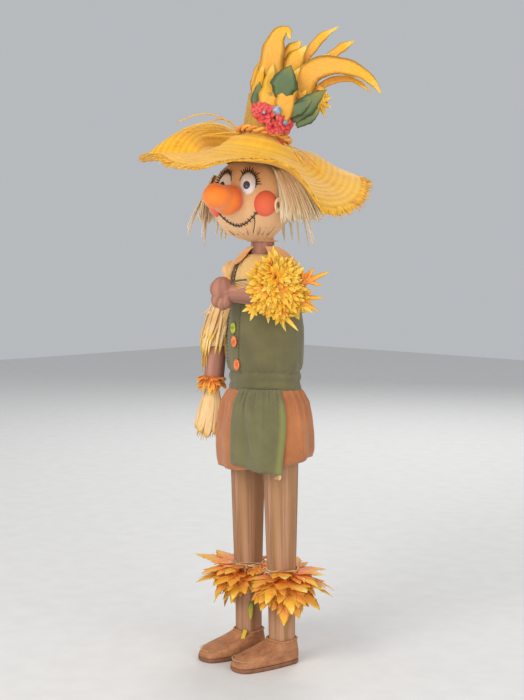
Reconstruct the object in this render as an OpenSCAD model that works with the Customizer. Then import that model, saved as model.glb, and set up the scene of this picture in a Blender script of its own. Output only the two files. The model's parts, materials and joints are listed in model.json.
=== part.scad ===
// Standing scarecrow doll with a wide straw hat and a tall leaf plume.
// The doll faces -Y, its left side is +X, and it stands on its soles at z = 0.
// The origin is the point on the ground below the middle of the hat brim.

/* [Legs and shoes] */
// Distance between the middles of the legs
leg_spacing = 44; // [43:0.5:46]
// Radius of a leg at the ankle
ankle_r = 12; // [11:0.5:13]
// Radius of a leg at the hip
thigh_r = 15; // [14:0.5:16]
// Height of the top of the legs
leg_top = 240; // [236:1:240]
// Turn of both shoes towards the doll's right in degrees
toe_turn = 8; // [0:1:12]
// Length of a shoe
shoe_len = 62; // [58:1:68]
// Width of a shoe at the ball of the foot
shoe_w = 34; // [30:1:36]

/* [Body] */
// Depth of the body as a share of its width
body_depth = 0.84; // [0.82:0.01:0.9]
// Half width of the bodice at its fullest
bodice_r = 40; // [39:0.5:41]
// Half width of the skirt at its hem
skirt_r = 49.5; // [47:0.5:52]
// Height of the skirt hem
hem_z = 186; // [170:1:200]
// Height of the shoulder axle
shoulder_z = 364; // [363:0.5:365]
// Diameter of the spine dowel
spine_d = 12; // [10:1:12]

/* [Head] */
// Radius of the covered head
head_r = 39.5; // [39:0.5:41]
// Height of the middle of the head
head_z = 434; // [433:0.5:436]
// Turn of the face towards the doll's left in degrees
face_turn = 20.6; // [0:0.2:30]

/* [Hat] */
// Radius of the brim
brim_r = 107; // [95:1:115]
// Height of the middle of the brim
brim_z = 454; // [453:0.5:458]
// Tilt of the hat in degrees
hat_tilt = 14.3; // [10:0.1:16]
// Radius of the crown
crown_r = 21; // [20:0.5:23]

/* [Fits] */
// Radial gap around a turning pin
run_gap = 0.05; // [0.02:0.01:0.1]
// Gap between pieces that are glued or sewn together
seam_gap = 0.1; // [0.05:0.01:0.2]

/* [Hidden] */
$fn = 64;

// Places
hat_x = -4;
hat_y = -10;
hat_lean_dir = 70.6;
head_x = -5;
head_y = -12;
neck_y = -3;
view_side = 45;

// Feet
sole_t = 4;
heel_r = 13;
toe_r = shoe_w / 2;
heel_y = 3;
toe_y = heel_y + heel_r + toe_r - shoe_len;
plate_t = 6;
plate_top = sole_t + seam_gap + plate_t;
plate_size = [20, 38, plate_t];
plate_y = -13;
ankle_z = 22;
screw_r = 1.5;
leg_foot = plate_top + seam_gap;

// Ruffs of leaves round the shins
ruff_low = 46;
ruff_high = 84;

// Skeleton
hip_t = 10;
hip_low = leg_top + seam_gap;
hip_top = hip_low + hip_t;
hip_half = 34;
hip_depth = 14;
spine_r = spine_d / 2;
spine_top = 388;
chest_low = 355;
chest_size = [38, 20, 17];
axle_r = 2;
axle_half = 44;
cap_r = 4;
cap_t = 1.5;

// Neck
post_r = 11;
post_low = 374;
post_top = 396;
spigot_r = 6;
spigot_top = 428;
bush_r = 8;
flange_r = 10;
flange_t = 2;

// Clothes
cloth_t = 2;
waist_z = 256;
waist_h = 17;
waist_r = 36;
bodice_z = waist_z + waist_h + seam_gap;
bodice_top = 345;

blouse_t = 1.4;
button_x = -9;
strap_x = 20;
strap_w = 5;
strap_z = 350;
strap_depth = 24;
strap_rise = 31.8;

// Arms
arm_r = 5;
eye_r = 6;
shoulder_x = 37;
right_elbow = [-45, -18, 316];
right_wrist = [-50, -25, 256];
left_elbow = [47, -21, 346];
left_reach_dir = -151;
pin_r = 1.5;
pin_grip = 0.005;
tongue_r = 4.5;
cheek_x = 4.6;
cheek_t = 3;
fork_gap = 5.6;
fork_t = 3;
fork_dir = 75;
forearm_r = 9.5;
sleeve_r = 10.5;
sleeve_t = 1.4;

// Skin of the stuffed head, and the face on it
cover_t = 2.2;
face_r = head_r + seam_gap;
eye_az = 18.7;
eye_el = 20;
eye_t = 2.5;
eye_half = 7.4;
eye_stretch = 3.1;
eye_room = 0.6;
pupil_r = 3.5;
pupil_drop = 3.2;
cheek_az = 43.7;
cheek_el = -8.4;
nose_az = -5.5;
nose_foot_r = 12;
nose_root = 44;
nose_root_r = 16;
nose_tip = 54;
nose_tip_r = 17;
mouth_half_az = 31;
mouth_el = -40;
mouth_rise = 20.5;
thread_r = 0.6;

function polar(r, a) = [r * cos(a), r * sin(a)];
function mix(a, b, t) = a + (b - a) * t;
function unit(v) = v / norm(v);
function bow(a, b, c, t) = mix(mix(a, b, t), mix(b, c, t), t);

// Point on the head at an azimuth from the middle of the face and an elevation
function on_head(r, az, el) = [r * cos(el) * sin(az), -r * cos(el) * cos(az), r * sin(el)];

module place() {
    translate([-hat_x, -hat_y, 0]) children();
}

module body_oval() {
    place() scale([1, body_depth, 1]) children();
}

module head_frame() {
    place() translate([head_x, head_y, head_z]) rotate([0, 0, face_turn]) children();
}

module hat_frame() {
    place() translate([hat_x, hat_y, brim_z]) rotate([0, hat_tilt, hat_lean_dir]) children();
}

// The crown's own frame, turned so that -Y is the trimmed side of the hat
module trim_frame() {
    hat_frame() rotate([0, 0, view_side - hat_lean_dir]) children();
}

// Turned ball, with its outline in short straight steps
module ball(r) {
    rotate_extrude() polygon([for (a = [-90 : 7.5 : 90]) polar(r, a)]);
}

// Rod between two points
module rod(a, b, r) {
    d = b - a;
    translate(a) rotate([0, acos(d.z / norm(d)), atan2(d.y, d.x)]) cylinder(h = norm(d), r = r);
}

// Rod along X through a point
module cross_rod(p, length, r) {
    translate([p.x - length / 2, p.y, p.z]) rotate([0, 90, 0]) cylinder(h = length, r = r);
}

// Leaf blade on a bowed spine, with a diamond section that is widest below its middle
module blade(base, bend, tip, width, thick, facing) {
    rings = 7;
    points = [
        for (i = [0 : rings])
            let (t = i / rings)
            let (c = bow(base, bend, tip, t))
            let (along = unit(mix(bend - base, tip - bend, t)))
            let (side = unit(cross(along, facing)))
            let (out = cross(side, along))
            let (half = 0.5 + (width / 2 - 0.5) * sin(180 * pow(0.12 + 0.88 * t, 0.8)))
            each [c + side * half, c + out * thick / 2, c - side * half, c - out * thick / 2]
    ];
    last = 4 * rings;
    faces = [
        [3, 2, 1, 0],
        for (i = [0 : rings - 1])
            for (k = [0 : 3])
                each [
                    [4 * i + k, 4 * i + (k + 1) % 4, 4 * i + 4 + k],
                    [4 * i + (k + 1) % 4, 4 * i + 4 + (k + 1) % 4, 4 * i + 4 + k]
                ],
        [last, last + 1, last + 2, last + 3]
    ];
    polyhedron(points, faces);
}

// Ring of a profile turned through an angle range
module sector(from, to) {
    rotate([0, 0, from]) rotate_extrude(angle = to - from) children();
}

// Full ring of a profile round the body, made of four quarters
module body_ring() {
    for (from = [0 : 90 : 270]) body_oval() sector(from, from + 90) children();
}

// Wall of cloth that follows an outline of [radius, height] points
module cloth_outline(outline, t) {
    last = len(outline) - 1;
    polygon([
        each outline,
        for (i = [0 : last]) [outline[last - i].x - t, outline[last - i].y]
    ]);
}

module foot_frame(side) {
    place() translate([side * leg_spacing / 2, 0, 0]) rotate([0, 0, -toe_turn]) children();
}

module footprint(inset) {
    hull() {
        translate([0, heel_y]) circle(r = heel_r - inset, $fn = 32);
        translate([0, toe_y]) circle(r = toe_r - inset, $fn = 32);
    }
}

module shoe_sole(side) {
    foot_frame(side) difference() {
        linear_extrude(sole_t) footprint(0);
        translate([0, 0, -1]) cylinder(h = sole_t + 2, r = screw_r + run_gap);
        translate([0, 0, -1]) cylinder(h = 3, r = 2 * screw_r + run_gap);
    }
}

module shoe_upper(side) {
    foot_frame(side) difference() {
        hull() {
            translate([0, 0, sole_t + seam_gap]) linear_extrude(2) footprint(0.5);
            translate([0, toe_y, sole_t + 3]) linear_extrude(4) circle(r = toe_r - 3, $fn = 32);
            translate([0, toe_y, sole_t + 6]) linear_extrude(3.5) circle(r = toe_r - 8, $fn = 32);
            translate([0, 0, ankle_z - 2]) cylinder(h = 2, r = ankle_r + 3, $fn = 32);
        }
        translate([0, plate_y, plate_top - plate_t / 2])
            cube(plate_size + [2 * seam_gap, 2 * seam_gap, 2 * seam_gap], center = true);
        translate([0, 0, sole_t]) cylinder(h = ankle_z, r = thigh_r - 1.5);
    }
}

module foot_weights() {
    color("dimgray") for (side = [-1, 1]) foot_frame(side) difference() {
        translate([0, plate_y, plate_top - plate_t / 2]) cube(plate_size, center = true);
        cylinder(h = 20, r = screw_r + run_gap);
    }
}

module foot_screws() {
    color("silver") for (side = [-1, 1]) foot_frame(side) {
        translate([0, 0, 1]) cylinder(h = 26, r = screw_r);
        translate([0, 0, 0.2]) cylinder(h = 1.6, r = 2 * screw_r);
    }
}

module leg(side) {
    color("rosybrown") place() translate([side * leg_spacing / 2, 0, 0]) difference() {
        translate([0, 0, leg_foot]) cylinder(h = leg_top - leg_foot, r1 = ankle_r, r2 = thigh_r);
        translate([0, 0, leg_foot - 1]) cylinder(h = 28 - leg_foot, r = screw_r + run_gap);
        translate([0, 0, leg_top - 15]) cylinder(h = 16, r = screw_r + run_gap);
    }
}

module leg_leaves(side) {
    inner = ankle_r + 2;
    color("orange") place() intersection() {
        translate([side * leg_spacing / 2, 0, 0]) rotate_extrude() polygon([
            [inner, ruff_low + 4], [inner + 22, ruff_low], [inner + 24, ruff_low + 8],
            [inner + 10, ruff_high - 6], [inner, ruff_high]
        ]);
        translate([side * (50 + seam_gap), 0, 50]) cube([100, 120, 100], center = true);
    }
}

module leg_ties() {
    color("wheat") for (side = [-1, 1])
        place() translate([side * leg_spacing / 2, 0, ruff_high + 2.5])
            rotate_extrude() translate([ankle_r + 3, 0]) circle(r = 1.6, $fn = 16);
}

module hip_block() {
    color("burlywood") place() difference() {
        union() {
            translate([-hip_half + hip_depth, -hip_depth, hip_low])
                cube([2 * (hip_half - hip_depth), 2 * hip_depth, hip_t]);
            for (side = [-1, 1])
                translate([side * (hip_half - hip_depth), 0, hip_low]) cylinder(h = hip_t, r = hip_depth);
        }
        translate([0, neck_y, hip_low - 1]) cylinder(h = hip_t + 2, r = spine_r + run_gap);
        for (side = [-1, 1])
            translate([side * leg_spacing / 2, 0, hip_low - 1]) {
                cylinder(h = hip_t + 2, r = screw_r + run_gap);
                translate([0, 0, hip_t - 1]) cylinder(h = 3, r = 2 * screw_r + run_gap);
            }
    }
}

module hip_screws() {
    color("silver") for (side = [-1, 1])
        place() translate([side * leg_spacing / 2, 0, leg_top - 14]) {
            cylinder(h = hip_top - leg_top + 13.5, r = screw_r);
            translate([0, 0, hip_top - leg_top + 12.2]) cylinder(h = 1.6, r = 2 * screw_r);
        }
}

module spine() {
    color("burlywood") place() difference() {
        translate([0, neck_y, hip_low]) cylinder(h = spine_top - hip_low, r = spine_r);
        cross_rod([0, neck_y, shoulder_z], 3 * spine_d, axle_r + run_gap);
    }
}

module torso_foam() {
    waist = waist_r - 3.5;
    full = bodice_r - cloth_t - 1;
    color("ivory") difference() {
        body_ring() polygon([
            [0, hip_top + seam_gap], [waist, hip_top + seam_gap], [waist, 272],
            [full, 288], [full, 312], [full - 4, 328], [28, 334], [28, chest_low - seam_gap],
            [0, chest_low - seam_gap]
        ]);
        place() translate([0, neck_y, hip_low]) cylinder(h = 150, r = spine_r + seam_gap);
    }
}

module chest_block() {
    color("burlywood") place() difference() {
        translate([-chest_size.x / 2, neck_y - chest_size.y / 2, chest_low]) cube(chest_size);
        translate([0, neck_y, chest_low - 1]) cylinder(h = chest_size.z + 2, r = spine_r + run_gap);
        cross_rod([0, neck_y, shoulder_z], 2 * chest_size.x, axle_r + run_gap);
    }
}

module shoulder_axle() {
    color("silver") place() cross_rod([0, neck_y, shoulder_z], 2 * axle_half, axle_r);
}

module axle_caps() {
    color("gray") for (side = [-1, 1])
        place() difference() {
            cross_rod([side * (axle_half - cap_t / 2), neck_y, shoulder_z], cap_t, cap_r);
            cross_rod([side * axle_half, neck_y, shoulder_z], 10, axle_r + pin_grip);
        }
}

module neck_post() {
    color("rosybrown") place() translate([0, neck_y, 0]) difference() {
        union() {
            translate([0, 0, post_low]) cylinder(h = post_top - post_low, r = post_r);
            translate([0, 0, post_top - 1]) cylinder(h = spigot_top - post_top + 1, r = spigot_r);
        }
        translate([0, 0, post_low - 1])
            cylinder(h = spine_top - post_low + 1 + seam_gap, r = spine_r + run_gap);
    }
}

// Outline of the gathered skirt, moved out by an amount
function skirt_outline(out) = [
    [skirt_r + out, hem_z], [skirt_r - 0.5 + out, 215], [skirt_r - 4.5 + out, 243],
    [waist_r + 4 + out, 251], [waist_r + out, waist_z - seam_gap]
];

module skirt() {
    color("sienna") body_ring() cloth_outline(skirt_outline(0), cloth_t);
}

module apron() {
    color("darkolivegreen") body_oval() sector(-95, -15)
        cloth_outline([[skirt_r + 2.4, hem_z - 6], each skirt_outline(2.2)], cloth_t - 0.1);
}

module waistband() {
    color("darkolivegreen") body_ring() translate([waist_r - 2.8, waist_z]) square([3, waist_h]);
}

module bodice() {
    color("darkolivegreen") body_ring() cloth_outline([
        [waist_r - 0.5, bodice_z], [bodice_r - 1, 286], [bodice_r, 300],
        [bodice_r - 0.5, 312], [bodice_r - 3, 330], [bodice_r - 5, bodice_top]
    ], cloth_t);
}

// Room for the neck post through the clothes
module neck_hole() {
    place() translate([0, neck_y, post_low - 10]) cylinder(h = 40, r = post_r + seam_gap);
}

module blouse() {
    color("tan") difference() {
        body_ring() cloth_outline([
            [30.5, 336], [31.5, 350], [31.5, 358], [29.5, 366], [25.5, 373], [20, 379], [15, 384]
        ], blouse_t);
        place() cross_rod([0, neck_y, shoulder_z], 2 * axle_half, axle_r + 1);
        neck_hole();
    }
}

module collar() {
    color("peachpuff") difference() {
        body_oval() for (from = [-80, 110])
            sector(from, from + 150)
                polygon([[14, 388.6], [31, 377.4], [31.6, 378.4], [14, 390]]);
        neck_hole();
    }
}

// Oval from the front of the chest over the shoulder to the back
module strap_oval(t) {
    polygon([for (a = [0 : 6 : 354]) [(strap_depth + t) * cos(a), (strap_rise + t) * sin(a)]]);
}

module straps() {
    color("saddlebrown") for (side = [-1, 1])
        place() translate([side * strap_x - strap_w / 2, 0, strap_z]) rotate([90, 0, 90])
            linear_extrude(strap_w) difference() {
                strap_oval(0.9);
                strap_oval(0);
                translate([-40, -73]) square([80, 80]);
            }
}

module button(z, y) {
    place() translate([button_x, y, z]) rotate([90, 0, 0]) {
        cylinder(h = 1.6, r = 4.5);
        translate([0, 0, 1.5]) cylinder(h = 0.8, r1 = 4, r2 = 3);
    }
}

module green_button() {
    color("yellowgreen") button(313, -33);
}

module orange_buttons() {
    color("orangered") {
        button(300, -33.4);
        button(279, -31.6);
    }
}

// Stuffed ball with the bush bored into it along the neck
module head_core() {
    color("ivory") place() difference() {
        translate([head_x, head_y, head_z]) ball(head_r - cover_t - seam_gap);
        translate([0, neck_y, post_top - 8]) cylinder(h = spigot_top - post_top + 9, r = bush_r + run_gap);
        translate([0, neck_y, post_top - 8]) cylinder(h = 8.2 + flange_t, r = flange_r + run_gap);
    }
}

module head_cover() {
    color("tan") place() difference() {
        union() {
            translate([head_x, head_y, head_z]) ball(head_r);
            translate([0, neck_y, 393.5]) cylinder(h = 10, r1 = 13.5, r2 = 17);
        }
        translate([head_x, head_y, head_z]) ball(head_r - cover_t);
        translate([0, neck_y, 390]) cylinder(h = 20, r = post_r + 0.4);
    }
}

module neck_bush() {
    color("white") place() translate([0, neck_y, 0]) difference() {
        union() {
            translate([0, 0, post_top + run_gap]) cylinder(h = flange_t, r = flange_r);
            translate([0, 0, post_top + 1]) cylinder(h = spigot_top - post_top - 1, r = bush_r);
        }
        translate([0, 0, post_top - 1]) cylinder(h = spigot_top - post_top + 4, r = spigot_r + run_gap);
    }
}

// Turned outline of two bulbs one behind the other, grown by a gap
module nose_shape(gap) {
    root = [for (a = [-22 : 15 : 23]) [0, nose_root] + polar(nose_root_r + gap, a)];
    tip = [for (a = [-60 : 15 : 90]) [0, nose_tip] + polar(nose_tip_r + gap, a)];
    head_frame() rotate([90, 0, nose_az]) rotate_extrude()
        polygon([
            [0, face_r], [nose_foot_r + gap, face_r], each root, each [for (p = tip) if (p.y > 50.5) p]
        ]);
}

module nose() {
    color("darkorange") nose_shape(0);
}

// Places pieces on the face, with Z pointing out of the head
module on_face(az, el) {
    head_frame() rotate([0, 0, az]) rotate([90 - el, 0, 0]) translate([0, 0, face_r]) children();
}

module eyes() {
    color("white") difference() {
        for (side = [-1, 1]) on_face(side * eye_az, eye_el) {
            translate([-eye_half, -eye_stretch, 0]) cube([2 * eye_half, 2 * eye_stretch, eye_t]);
            for (end = [-eye_stretch, eye_stretch]) translate([0, end, 0]) cylinder(h = eye_t, r = eye_half);
        }
        head_frame() rotate([90, 0, nose_az]) cylinder(h = nose_tip, r = nose_root_r + eye_room);
    }
}

module pupils() {
    color("darkslategray") difference() {
        for (side = [-1, 1]) on_face(side * eye_az, eye_el)
            translate([0, -pupil_drop, eye_t + seam_gap]) cylinder(h = 0.8, r = pupil_r);
        nose_shape(eye_room);
    }
}

module cheeks() {
    color("salmon") for (side = [-1, 1]) on_face(side * cheek_az, cheek_el)
        rotate_extrude() polygon([[0, 0], [11.5, 0], [11, 1.8], [8, 3.6], [4, 4.5], [0, 4.8]]);
}

// Point on the smile, from one corner of the mouth at t = -1 to the other at t = 1
function on_smile(t) = on_head(face_r + thread_r, mouth_half_az * t, mouth_el + mouth_rise * t * t);

// Stitched smile: a thread that dips from the corners of the mouth to the chin
module face_thread() {
    steps = 12;
    sides = 6;
    color("black") head_frame() {
        points = [
            for (i = [0 : steps])
                let (t = 2 * i / steps - 1)
                let (c = on_smile(t))
                let (ahead = on_smile(t + 0.01))
                let (out = unit(c))
                let (side = unit(cross(out, ahead - c)))
                for (k = [0 : sides - 1])
                    c + thread_r * (out * cos(60 * k) + side * sin(60 * k))
        ];
        faces = [
            [for (k = [0 : sides - 1]) sides - 1 - k],
            for (i = [0 : steps - 1])
                for (k = [0 : sides - 1])
                    each [
                        [sides * i + k, sides * i + (k + 1) % sides, sides * (i + 1) + k],
                        [sides * i + (k + 1) % sides, sides * (i + 1) + (k + 1) % sides, sides * (i + 1) + k]
                    ],
            [for (k = [0 : sides - 1]) sides * steps + k]
        ];
        polyhedron(points, faces);
    }
}

// Bunch of raffia over an azimuth range that is measured from the middle of the face
module hair(from, to, reach, top, bottom) {
    color("navajowhite") head_frame() sector(from - 90, to - 90) polygon([
        [head_r + 1, top - 4], [head_r + 5, top], [head_r + reach, bottom + 16],
        [head_r + reach - 3, bottom], [head_r + 1, bottom + 4]
    ]);
}

module hat_brim() {
    outline = [[brim_r, 0], [80, 3], [58, 9], [40, 21], [30, 33], [crown_r - 2, 38]];
    last = len(outline) - 1;
    color("gold") hat_frame() rotate_extrude($fn = 96) polygon([
        each outline,
        for (i = [0 : last]) outline[last - i] - [0, 2]
    ]);
}

module hat_crown() {
    color("goldenrod") hat_frame() rotate_extrude() polygon([
        [crown_r - 2, 38.2], [crown_r, 38.2], [crown_r + 2, 78], [crown_r, 78]
    ]);
}

module crown_foam() {
    color("seagreen") hat_frame() difference() {
        translate([0, 0, 10]) cylinder(h = 64, r = crown_r - 2.3);
        head_ball_in_hat();
    }
}

// The covered head as it lies in the hat's frame, with a glue gap
module head_ball_in_hat() {
    rotate([0, -hat_tilt, 0]) rotate([0, 0, -hat_lean_dir])
        translate([head_x - hat_x, head_y - hat_y, head_z - brim_z]) ball(face_r);
}

module hat_band() {
    color("orange") hat_frame() rotate_extrude() polygon([
        [crown_r + 0.5, 39], [crown_r + 4.5, 38.4], [crown_r + 5, 41],
        [crown_r + 4, 45], [crown_r + 0.7, 45.5]
    ]);
}

// Five-petalled flowers as [azimuth, height, radius]
module hat_flowers() {
    petals = 5;
    color("crimson") trim_frame() for (f = [[-64, 52, 6], [-20, 55, 9], [36, 51, 10]])
        rotate([0, 0, f[0]]) translate([0, -crown_r - 5.3, f[1]]) rotate([90, 0, 0]) {
            linear_extrude(2.5)
                polygon([for (a = [0 : 9 : 351]) polar(f[2] * (0.78 + 0.22 * cos(petals * a)), a)]);
            translate([0, 0, 1]) cylinder(h = 3, r = f[2] * 0.3);
        }
}

// Beads as [azimuth, height, radius]
module hat_berries() {
    color("lightsteelblue") trim_frame() for (b = [[6, 60, 4], [34, 64, 2.5], [-43, 49, 2.5]])
        rotate([0, 0, b[0]]) translate([0, -crown_r - 3 - b[2], b[1]]) sphere(r = b[2]);
}

module hat_green_leaves() {
    near = crown_r + 4.5;
    color("darkgreen") trim_frame() {
        rotate([0, 0, -88]) blade([0, -near, 54], [0, -near - 2, 72], [0, -near - 1, 90], 14, 1.6, [0, 1, 0]);
        rotate([0, 0, 6]) blade([0, -near, 66], [-2, -near - 4, 82], [2, -near - 3, 98], 28, 1.6, [0, 1, 0]);
        rotate([0, 0, 64])
            blade([0, -near, 58], [0, -near - 14, 70], [0, -near - 30, 76], 22, 1.6, [0, 0, 1]);
    }
}

// Plume leaves: [base, bend, tip, width], with X the way that the plume sweeps
PLUME = [
    [[-8.6, -5, -6], [-22, -7, 86], [18, -6, 60], 26],
    [[-1, 4, -6], [8, 6, 52], [30, 4, 54], 26],
    [[7, -6, -6], [52, -12, 76], [104, -4, 9], 24],
    [[4, 9, 0], [30, 12, 52], [66, 16, 68], 9],
    [[8, 8, 0], [40, 16, 46], [80, 22, 55], 9],
    [[11, 1, 0], [48, 2, 42], [94, 8, 10], 7]
];

module hat_plume() {
    crown_top = [0, 0, 76];
    color("gold") trim_frame() translate(crown_top) rotate([0, -hat_tilt * 0.9, 0])
        for (leaf = PLUME) blade(leaf[0], leaf[1], leaf[2], leaf[3], 2.4, [0, 1, 0.2]);
}

// Upper arm: an eye on the shoulder axle, clear of the axle's cap, and a dowel down to the elbow
module arm_dowel(side, elbow, stop) {
    shoulder = [side * shoulder_x, neck_y, shoulder_z];
    difference() {
        union() {
            cross_rod(shoulder, 10, eye_r);
            rod(shoulder, mix(shoulder, elbow, stop), arm_r);
            children();
        }
        cross_rod(shoulder, 30, axle_r + run_gap);
        cross_rod([side * (axle_half + 0.6), neck_y, shoulder_z], 5, cap_r + 0.4);
    }
}

// Two cheeks beside the forearm's tongue, joined by a bridge above it
module right_fork() {
    bridge = right_elbow + [0, 3.6, 12];
    bridge_r = 3.5;
    cross_rod(bridge, 2 * cheek_x + cheek_t, bridge_r);
    for (side = [-1, 1])
        hull() {
            cross_rod(right_elbow + [side * cheek_x, 0, 0], cheek_t, tongue_r, $fn = 32);
            cross_rod(bridge + [side * cheek_x, 0, 0], cheek_t, bridge_r, $fn = 32);
        }
}

module right_upper_arm() {
    color("burlywood") place() difference() {
        arm_dowel(-1, right_elbow, 0.78) right_fork();
        cross_rod(right_elbow, 20, pin_r + pin_grip);
    }
}

// Fork at the lower end of the left upper arm, with an upright web behind the elbow pin
module left_fork() {
    translate(left_elbow - [0, 0, fork_gap + fork_t]) rotate([0, 0, fork_dir]) difference() {
        linear_extrude(2 * (fork_gap + fork_t)) {
            circle(r = tongue_r);
            translate([0, -3]) square([11, 6]);
        }
        translate([-8, -8, fork_t]) cube([14.3, 16, 2 * fork_gap]);
    }
}

module left_upper_arm() {
    color("burlywood") place() difference() {
        arm_dowel(1, left_elbow, 0.6) left_fork();
        translate(left_elbow - [0, 0, 15]) cylinder(h = 30, r = pin_r + pin_grip);
    }
}

module right_elbow_pin() {
    color("silver") place() cross_rod(right_elbow, 13, pin_r);
}

module left_elbow_pin() {
    color("silver") place() translate(left_elbow - [0, 0, 9]) cylinder(h = 18, r = pin_r);
}

// Room for the clothed body beside a sleeve, between two heights
module body_room(r, low, high) {
    translate([0, 0, low]) linear_extrude(high - low)
        polygon([for (a = [0 : 5 : 355]) [r * cos(a), r * body_depth * sin(a)]]);
}

// Straw sleeve as a loose tube round an upper arm, open where the body is
module sleeve(side, elbow, from, to) {
    shoulder = [side * shoulder_x, neck_y, shoulder_z];
    color("wheat") place() difference() {
        rod(mix(shoulder, elbow, from), mix(shoulder, elbow, to), sleeve_r);
        rod(mix(shoulder, elbow, from - 0.2), mix(shoulder, elbow, to + 0.2), sleeve_r - sleeve_t);
        body_room(bodice_r + 0.5, 290, 331);
        body_room(bodice_r - 2, 330, bodice_top + 1);
        body_room(32.2, bodice_top, 380);
    }
}

module right_forearm() {
    top = mix(right_elbow, right_wrist, 0.22);
    color("rosybrown") place() difference() {
        union() {
            cross_rod(right_elbow, 5.8, tongue_r);
            rod(right_elbow, top, 2.5);
            rod(top, right_wrist, 11);
        }
        cross_rod(right_elbow, 20, pin_r + run_gap);
    }
}

module right_cuff_leaves() {
    color("orange") place() translate(right_wrist - [0.3, 0.3, 10.8]) rotate_extrude()
        polygon([[7.3, 0], [12.4, 0], [11.8, 5], [9, 8.5], [7.3, 8.5]]);
}

module right_cuff_tie() {
    color("saddlebrown") place() translate(right_wrist - [2.3, 1.4, 13.8]) rotate_extrude()
        translate([8, 0]) circle(r = 1.7, $fn = 16);
}

// Bundle of husks: a narrow neck in the cuff, and a flat fan below it
module right_hand() {
    top = right_wrist - [0.5, 0.5, 1.8];
    color("wheat") place() {
        hull() {
            translate(top - [0, 0, 6]) cylinder(h = 5.8, r = 5, $fn = 32);
            translate(top - [2, 1, 14]) cylinder(h = 2, r = 5.5, $fn = 32);
        }
        hull() {
            translate(top - [2, 1, 16]) cylinder(h = 2.5, r = 5.5, $fn = 32);
            translate(top - [0, 7, 50]) cylinder(h = 1, r = 5, $fn = 32);
            translate(top - [6, -7, 52]) cylinder(h = 1, r = 5, $fn = 32);
        }
    }
}

// Frame of the left forearm: X runs from the elbow to the fist
module reach_frame() {
    place() translate(left_elbow) rotate([0, 0, left_reach_dir]) children();
}

module left_forearm() {
    color("rosybrown") reach_frame() difference() {
        union() {
            translate([0, 0, -5.5]) cylinder(h = 11, r = tongue_r);
            translate([0, 0, 0]) rotate([0, 90, 0]) cylinder(h = 16, r = 3.2);
            translate([15, 0, 0]) rotate([0, 90, 0]) cylinder(h = 31, r1 = forearm_r, r2 = forearm_r - 1.5);
            translate([45, 0, 0]) rotate([0, 90, 0]) cylinder(h = 11, r = 3);
        }
        translate([0, 0, -15]) cylinder(h = 30, r = pin_r + run_gap);
    }
}

module left_hand() {
    color("rosybrown") reach_frame() difference() {
        hull() {
            translate([50, 0, 0]) rotate([0, 90, 0]) cylinder(h = 2, r = 8, $fn = 32);
            translate([60, 0, 3]) sphere(r = 11, $fn = 32);
            translate([62, 0, -4]) sphere(r = 10, $fn = 32);
        }
        translate([40, 0, 0]) rotate([0, 90, 0]) cylinder(h = 16.2, r = 3 + run_gap);
    }
}

// Bowl of maple leaves on the outer side of the left elbow
module left_cuff_leaves() {
    color("gold") place() translate(left_elbow) rotate([90, 0, view_side]) rotate_extrude() polygon([
        [0, 13], [16, 12], [30, 8], [37, 3], [38, 5.5], [31, 12], [16, 17], [0, 18]
    ]);
}

color("sienna") shoe_sole(1);  // left_shoe_sole
color("sienna") shoe_sole(-1);  // right_shoe_sole
color("peru") shoe_upper(1);  // left_shoe
color("peru") shoe_upper(-1);  // right_shoe
foot_weights();
foot_screws();
leg(1);  // left_leg
leg(-1);  // right_leg
leg_leaves(1);  // left_leg_leaves
leg_leaves(-1);  // right_leg_leaves
leg_ties();
hip_block();
hip_screws();
spine();
torso_foam();
chest_block();
shoulder_axle();
axle_caps();
neck_post();
skirt();
apron();
waistband();
bodice();
blouse();
collar();
straps();
green_button();
orange_buttons();
head_core();
head_cover();
neck_bush();
nose();
eyes();
pupils();
cheeks();
face_thread();
hair(62, 135, 18, 6, -30);  // left_hair
hair(-118, -62, 12, 10, -30);  // right_hair
hair(136, 241, 14, 2, -28);  // back_hair
hat_brim();
hat_crown();
crown_foam();
hat_band();
hat_flowers();
hat_berries();
hat_green_leaves();
hat_plume();
right_upper_arm();
sleeve(-1, right_elbow, 0.2, 0.84);  // right_sleeve
right_elbow_pin();
right_forearm();
right_cuff_leaves();
right_cuff_tie();
right_hand();
left_upper_arm();
sleeve(1, left_elbow, 0.25, 0.5);  // left_sleeve
left_elbow_pin();
left_forearm();
left_cuff_leaves();
left_hand();
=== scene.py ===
import json
import math

import bpy
import numpy as np
from mathutils import Matrix, Vector


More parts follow.
